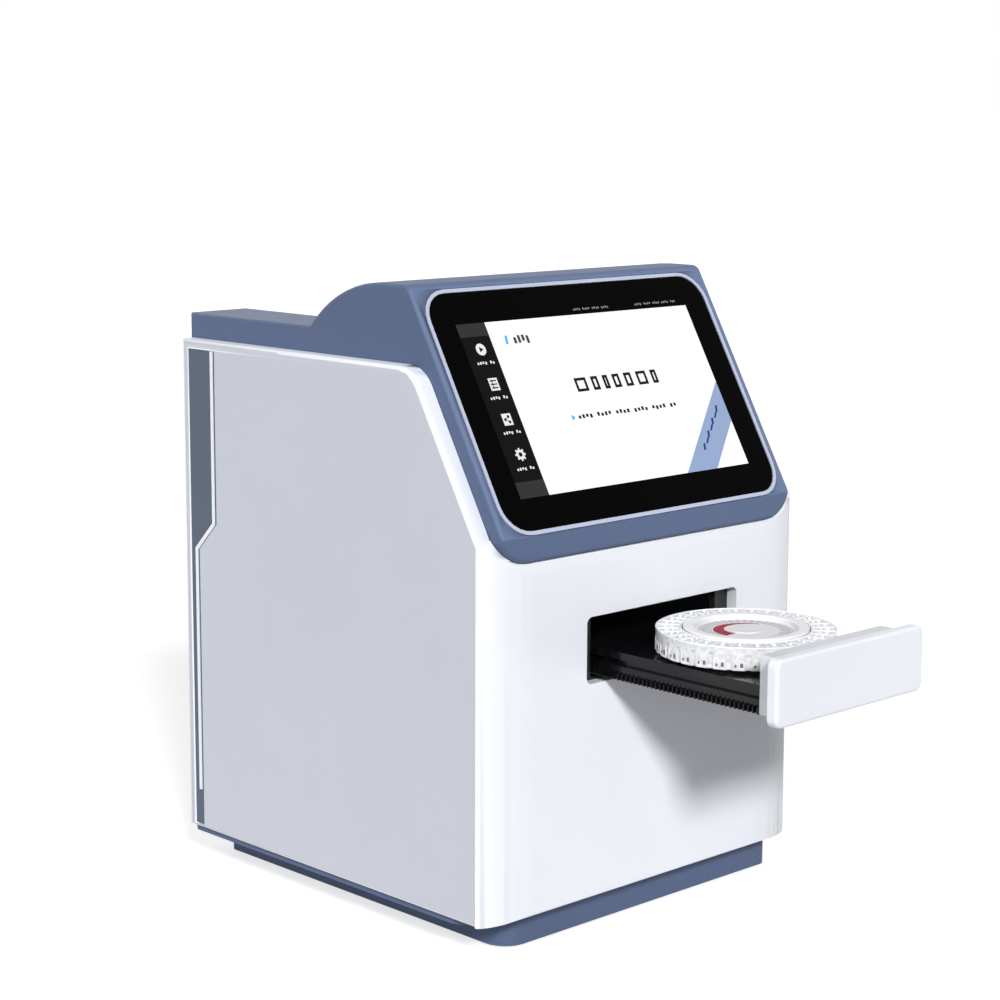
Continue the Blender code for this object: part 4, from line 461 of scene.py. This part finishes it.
def disc_details():
    """Thirty cells: their lips, wall, mouths dark with painted shade, wells, beads and ribs, and
    the hub's cap.
    """
    low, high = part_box("reagent_disc")
    centre = (low + high) / 2
    x, y = centre.x / MM, centre.y / MM
    bottom, top = low.z / MM, high.z / MM
    milky = moulded("milky_polymer", (0.90, 0.91, 0.93), 0.18, 0.000001, Coat_Weight=0.6)
    # Painted shade: the dark colour of the cells' mouths.
    mouth_shade = moulded("cell_shadow", (0.13, 0.135, 0.15), 0.12, 0.000001, Coat_Weight=0.5)
    well = moulded("well_floor", (0.62, 0.63, 0.67), 0.14, 0.000001, Coat_Weight=0.5)
    clear = clear_plastic("cell_plastic")
    lips = bmesh.new()
    add_block(lips, (0.5, 5.2, 0.55), (x + CELL_FACE, y, bottom + 0.6), 0.2)
    for side in (-2.6, 2.6):
        add_block(lips, (0.4, 0.4, 4.6), (x + CELL_FACE, y + side, bottom + 3.2), 0.15)
    add_block(lips, (0.4, 0.4, 2.0), (x + CELL_FACE, y, bottom + 5.0), 0.15)
    all_round(lips, centre)
    finished("disc_cell_lips", lips, clear, "disc")
    wall = bmesh.new()
    add_hoop(wall, centre, 38.7, 39.3, bottom + 0.4, top - 2.6)
    finished("disc_cell_wall", wall, clear, "disc")
    # Dark blocks in the cells' mouths are painted shade of the openings.
    mouths = bmesh.new()
    add_block(mouths, (0.3, 1.3, 1.9), (x + CELL_FACE, y + 1.3, bottom + 2.6), 0.1)
    add_block(mouths, (0.3, 0.9, 1.2), (x + CELL_FACE, y - 1.3, bottom + 2.3), 0.1)
    all_round(mouths, centre)
    finished("disc_cell_mouths", mouths, mouth_shade, "disc")
    wells = bmesh.new()
    add_block(wells, (5.6, 3.4, 0.2), (x + 34.4, y, top - 0.02), 0.08)
    all_round(wells, centre)
    finished("disc_wells", wells, well, "disc")
    beads = bmesh.new()
    for reach, radius in ((35.9, 0.85), (32.9, 0.5)):
        place = Matrix.Translation(Vector((x + reach, y, top + 0.1)) * MM)
        bmesh.ops.create_icosphere(beads, subdivisions=2, radius=radius * MM, matrix=place)
    all_round(beads, centre)
    finished("disc_beads", beads, milky, "disc", smooth=60)
    ribs = bmesh.new()
    add_block(ribs, (9.4, 0.4, 0.3), (x + 34.6, y, top + 0.1), 0.1)
    half_cell = (Matrix.Translation(centre) @ Matrix.Rotation(pi / CELLS, 4, "Z")
                 @ Matrix.Translation(-centre))
    bmesh.ops.transform(ribs, matrix=half_cell, verts=ribs.verts[:])
    all_round(ribs, centre)
    finished("disc_ribs", ribs, milky, "disc")
    for name, inner, outer in (("disc_outer_rim", 39.5, 40.1), ("disc_inner_rim", 29.3, 29.9)):
        ring = bmesh.new()
        add_hoop(ring, centre, inner, outer, top - 0.4, top + 0.3)
        finished(name, ring, milky, "disc")
    label_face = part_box("disc_label")[1].z
    cap = bmesh.new()
    bmesh.ops.create_cone(cap, cap_ends=True, segments=48, radius1=7.0 * MM, radius2=6.7 * MM,
                          depth=0.4 * MM,
                          matrix=Matrix.Translation((centre.x, centre.y, label_face + 0.2 * MM)))
    finished("disc_hub_cap", cap, moulded("cap_white", (0.74, 0.74, 0.77), 0.35, 0.000001),
             "disc")


def add_rear_screw(bm, x, face, z, radius):
    """Round screw head on the rear panel, its recess a shallow dish."""
    out = Vector((0.0, 1.0, 0.0))
    turn = Vector((0.0, 0.0, 1.0)).rotation_difference(out).to_matrix().to_4x4()
    seat = Matrix.Translation(Vector((x, face, z)) * MM) @ turn
    head = bmesh.ops.create_cone(bm, cap_ends=True, segments=20, radius1=radius * MM,
                                 radius2=radius * 0.72 * MM, depth=1.0 * MM,
                                 matrix=seat @ Matrix.Translation((0.0, 0.0, 0.5 * MM)))["verts"]
    caps = [side for side in {side for vert in head for side in vert.link_faces}
            if len(side.verts) > 4 and side.normal.dot(out) > 0.9]
    bmesh.ops.inset_region(bm, faces=caps, thickness=radius * 0.3 * MM, depth=-0.35 * MM)


def rear_middle(name):
    """Middle of a fitting seen from behind, and its rear face, in millimetres."""
    low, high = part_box(name)
    return (low.x + high.x) / 2 / MM, high.y / MM, (low.z + high.z) / 2 / MM


def rear_fittings():
    """Screws of the rear panel, the inlet's blades and the contacts in the data sockets."""
    low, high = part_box("rear_panel")
    left, right, face = low.x / MM, high.x / MM, high.y / MM
    screws = bmesh.new()
    for x in (left + 5.5, right - 5.5):
        for z in SCREW_HEIGHTS:
            add_rear_screw(screws, x, face, z, 2.4)
    low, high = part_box("fan_frame")
    for x in (low.x / MM + 5.0, high.x / MM - 5.0):
        for z in (low.z / MM + 5.0, high.z / MM - 5.0):
            add_rear_screw(screws, x, face, z, 2.2)
    nickel = plated("nickel", (0.60, 0.60, 0.58), 0.24)
    finished("rear_screws", screws, nickel)
    x, y, z = rear_middle("power_inlet")
    blades = bmesh.new()
    for across, lift in ((-7.0, -2.0), (0.0, 2.0), (7.0, -2.0)):
        add_block(blades, (2.0, 13.0, 4.0), (x + across, y - 9.7, z + lift), 0.4)
    finished("inlet_blades", blades, nickel)
    x, y, z = rear_middle("io_ports")
    tongues = bmesh.new()
    for across in (0.0, PORT_PITCH):
        add_block(tongues, (9.0, 9.0, 1.6), (x + across, y - 6.0, z + 0.9), 0.2)
    finished("port_tongues", tongues, moulded("port_blue", (0.05, 0.12, 0.42), 0.4, 0.000001))
    pins = bmesh.new()
    for index in range(8):
        across = 1.02 * (index - 3.5) - PORT_PITCH
        add_block(pins, (0.45, 7.0, 0.4), (x + across, y - 7.0, z + 4.2))
    finished("network_pins", pins, plated("gold", (0.83, 0.62, 0.26), 0.22))


def background(tree):
    """Mask of the rays that see white surroundings: the eye's, and those off gloss or glass."""
    seen = tree.node("ShaderNodeLightPath", output="Is Camera Ray")
    glossy = tree.node("ShaderNodeLightPath", output="Is Glossy Ray")
    clear = tree.node("ShaderNodeLightPath", output="Is Transmission Ray")
    return (seen + glossy + clear).at_most(1.0)


def floor():
    """Pale floor that looks white to the eye and keeps the object's shadow."""
    grid = bmesh.new()
    bmesh.ops.create_grid(grid, x_segments=1, y_segments=1, size=40.0)
    mesh = bpy.data.meshes.new("floor")
    grid.to_mesh(mesh)
    grid.free()
    ground = bpy.data.objects.new("floor", mesh)
    bpy.context.scene.collection.objects.link(ground)
    finish = Finish("floor", (0.55, 0.55, 0.56), 0.9, Specular_IOR_Level=0.0)
    glow = finish.node("ShaderNodeEmission", inputs={"Color": (1.0, 1.0, 1.0, 1.0),
                                                     "Strength": background(finish) * 0.68})
    total = finish.node("ShaderNodeAddShader", inputs={1: glow})
    finish.tree.links.new(finish.shader.outputs[0], total.socket.node.inputs[0])
    finish.tree.links.new(total.socket, finish.tree.nodes["Material Output"].inputs["Surface"])
    mesh.materials.append(finish.material)


def studio():
    """White surroundings, a weak ambient light, and the key, fill and back lamps."""
    world = bpy.data.worlds.new("studio")
    bpy.context.scene.world = world
    world.use_nodes = True
    room = Surroundings(world)
    ambient = room.node("ShaderNodeBackground", inputs={"Color": (0.94, 0.96, 1.0, 1.0),
                                                        "Strength": 0.08})
    backdrop = room.node("ShaderNodeBackground", inputs={"Color": (1.0, 1.0, 1.0, 1.0),
                                                         "Strength": 1.0})
    seen = room.node("ShaderNodeMixShader", inputs={0: background(room), 1: ambient,
                                                    2: backdrop})
    room.tree.links.new(seen.socket, room.tree.nodes["World Output"].inputs["Surface"])
    for name, energy, angle, aim in (("key", 2.95, 9, (0.45, 0.745, -0.492)),
                                     ("fill", 1.25, 50, (0.80, 0.05, -0.60)),
                                     ("back", 0.3, 40, (-0.25, -0.90, -0.35))):
        lamp = bpy.data.lights.new(name, "SUN")
        lamp.angle = radians(angle)
        lamp.energy = energy
        light = bpy.data.objects.new(name, lamp)
        light.rotation_euler = Vector(aim).to_track_quat("-Z", "Y").to_euler()
        bpy.context.scene.collection.objects.link(light)


def camera():
    """Camera of the photograph, solved from the object's edges."""
    data = bpy.data.cameras.new("camera")
    data.sensor_width = 36.0
    data.lens = 85.14
    data.shift_x = 0.0082
    data.shift_y = -0.016
    obj = bpy.data.objects.new("camera", data)
    obj.location = CAMERA_PLACE
    aim = Vector((sin(CAMERA_YAW) * cos(CAMERA_PITCH), cos(CAMERA_YAW) * cos(CAMERA_PITCH),
                  -sin(CAMERA_PITCH)))
    turn = aim.to_track_quat("-Z", "Y").to_matrix().to_4x4()
    obj.rotation_euler = (turn @ Matrix.Rotation(CAMERA_ROLL, 4, "Z")).to_euler()
    bpy.context.scene.collection.objects.link(obj)
    bpy.context.scene.camera = obj


def finishes(nodes):
    """Material of every CAD node, by what it is made of."""
    white = (0.82, 0.84, 0.89)
    silver = (0.55, 0.57, 0.63)
    slate = (0.080, 0.113, 0.205)
    dress(nodes, moulded("white_plastic", white, 0.33, 0.000004), "front_shell", "drawer_front",
          "left_trim_line", "right_trim_line")
    # Their white rounded edge and ledge is partly the body's white, partly a painted highlight.
    dress(nodes, edged("silver_plastic", silver, white, 0.40, 0.000006), "left_side_panel",
          "right_side_panel")
    dress(nodes, moulded("silver_rear", silver, 0.40, 0.000006), "rear_panel")
    dress(nodes, moulded("pale_plastic", (0.66, 0.68, 0.72), 0.36, 0.000004), "drawer_block")
    dress(nodes, moulded("slate_plastic", slate, 0.55, 0.000008, Specular_IOR_Level=0.35),
          "base_plinth", "printer_housing", "printer_lid")
    # The paler second colour is the painted sheen on the hood's sloping lip.
    dress(nodes, hood_plastic("hood_slate", slate, (0.125, 0.175, 0.300), 0.55, 0.000008,
                              Specular_IOR_Level=0.35), "top_hood")
    dress(nodes, moulded("inlay_slate", (0.061, 0.085, 0.129), 0.40, 0.000004),
          "left_side_strip", "right_side_strip", "printer_release_button")
    rim = Finish("bright_rim", (0.50, 0.54, 0.68), 0.25, Metallic=0.35)
    rim.drive("Roughness", 0.25 + (rim.noise(80.0) - 0.5) * 0.1)
    dress(nodes, rim.material, "display_rim")
    glass = Finish("black_glass", (0.0008, 0.0008, 0.001), 0.05, Specular_IOR_Level=0.015)
    glass.drive("Roughness", 0.05 + glass.noise(30.0) * 0.05)
    dress(nodes, glass.material, "screen_glass")
    dress(nodes, moulded("gloss_black", (0.004, 0.004, 0.005), 0.13, 0.000002,
                         Specular_IOR_Level=0.35), "drawer_tray")
    dress(nodes, moulded("satin_black", (0.012, 0.012, 0.013), 0.5, 0.00001), "drawer_bezel",
          "fan_frame", "fan_rotor", "power_inlet", "switch_housing", "power_rocker",
          "photometer_head", "photometer_lamp", "left_guide_rail", "right_guide_rail")
    dress(nodes, moulded("rubber", (0.02, 0.02, 0.02), 0.8, 0.00002), "front_left_foot",
          "front_right_foot", "rear_left_foot", "rear_right_foot", "platen_roller")
    dress(nodes, plated("zinc_sheet", (0.58, 0.59, 0.60), 0.34), "chassis_plate",
          "mechanism_frame", "power_supply", "io_ports")
    dress(nodes, plated("turned_metal", (0.62, 0.62, 0.64), 0.26, (1.0, 1.0, 14.0)),
          "spindle_motor", "spindle_hub")
    dress(nodes, plated("dark_metal", (0.10, 0.10, 0.11), 0.38), "drive_motor", "lcd_module",
          "print_head")
    dress(nodes, circuit_board("board"), "main_board", "photometer_detector")
    dress(nodes, moulded("acetal", (0.80, 0.80, 0.77), 0.35, 0.000004), "drive_pinion")
    dress(nodes, moulded("paper", (0.84, 0.84, 0.82), 0.8, 0.00001), "paper_roll")
    dress(nodes, moulded("disc_white", (0.84, 0.84, 0.87), 0.4, 0.000002), "disc_cover")
    dress(nodes, clear_plastic("clear_plastic"), "reagent_disc")
    low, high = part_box("disc_label")
    dress(nodes, disc_label((low + high) / 2), "disc_label")


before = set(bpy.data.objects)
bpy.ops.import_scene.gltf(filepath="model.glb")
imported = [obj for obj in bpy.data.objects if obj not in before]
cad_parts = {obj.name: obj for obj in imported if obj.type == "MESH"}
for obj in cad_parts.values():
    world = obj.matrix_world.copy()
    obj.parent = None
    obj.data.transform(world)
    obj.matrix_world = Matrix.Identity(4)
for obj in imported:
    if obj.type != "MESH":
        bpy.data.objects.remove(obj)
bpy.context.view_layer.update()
bpy.context.scene.view_settings.view_transform = "Standard"
finishes(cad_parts)
skinned(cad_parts, "top_hood", "front_shell", "left_side_panel", "right_side_panel")
screen_picture()
disc_details()
rear_fittings()
floor()
studio()
camera()
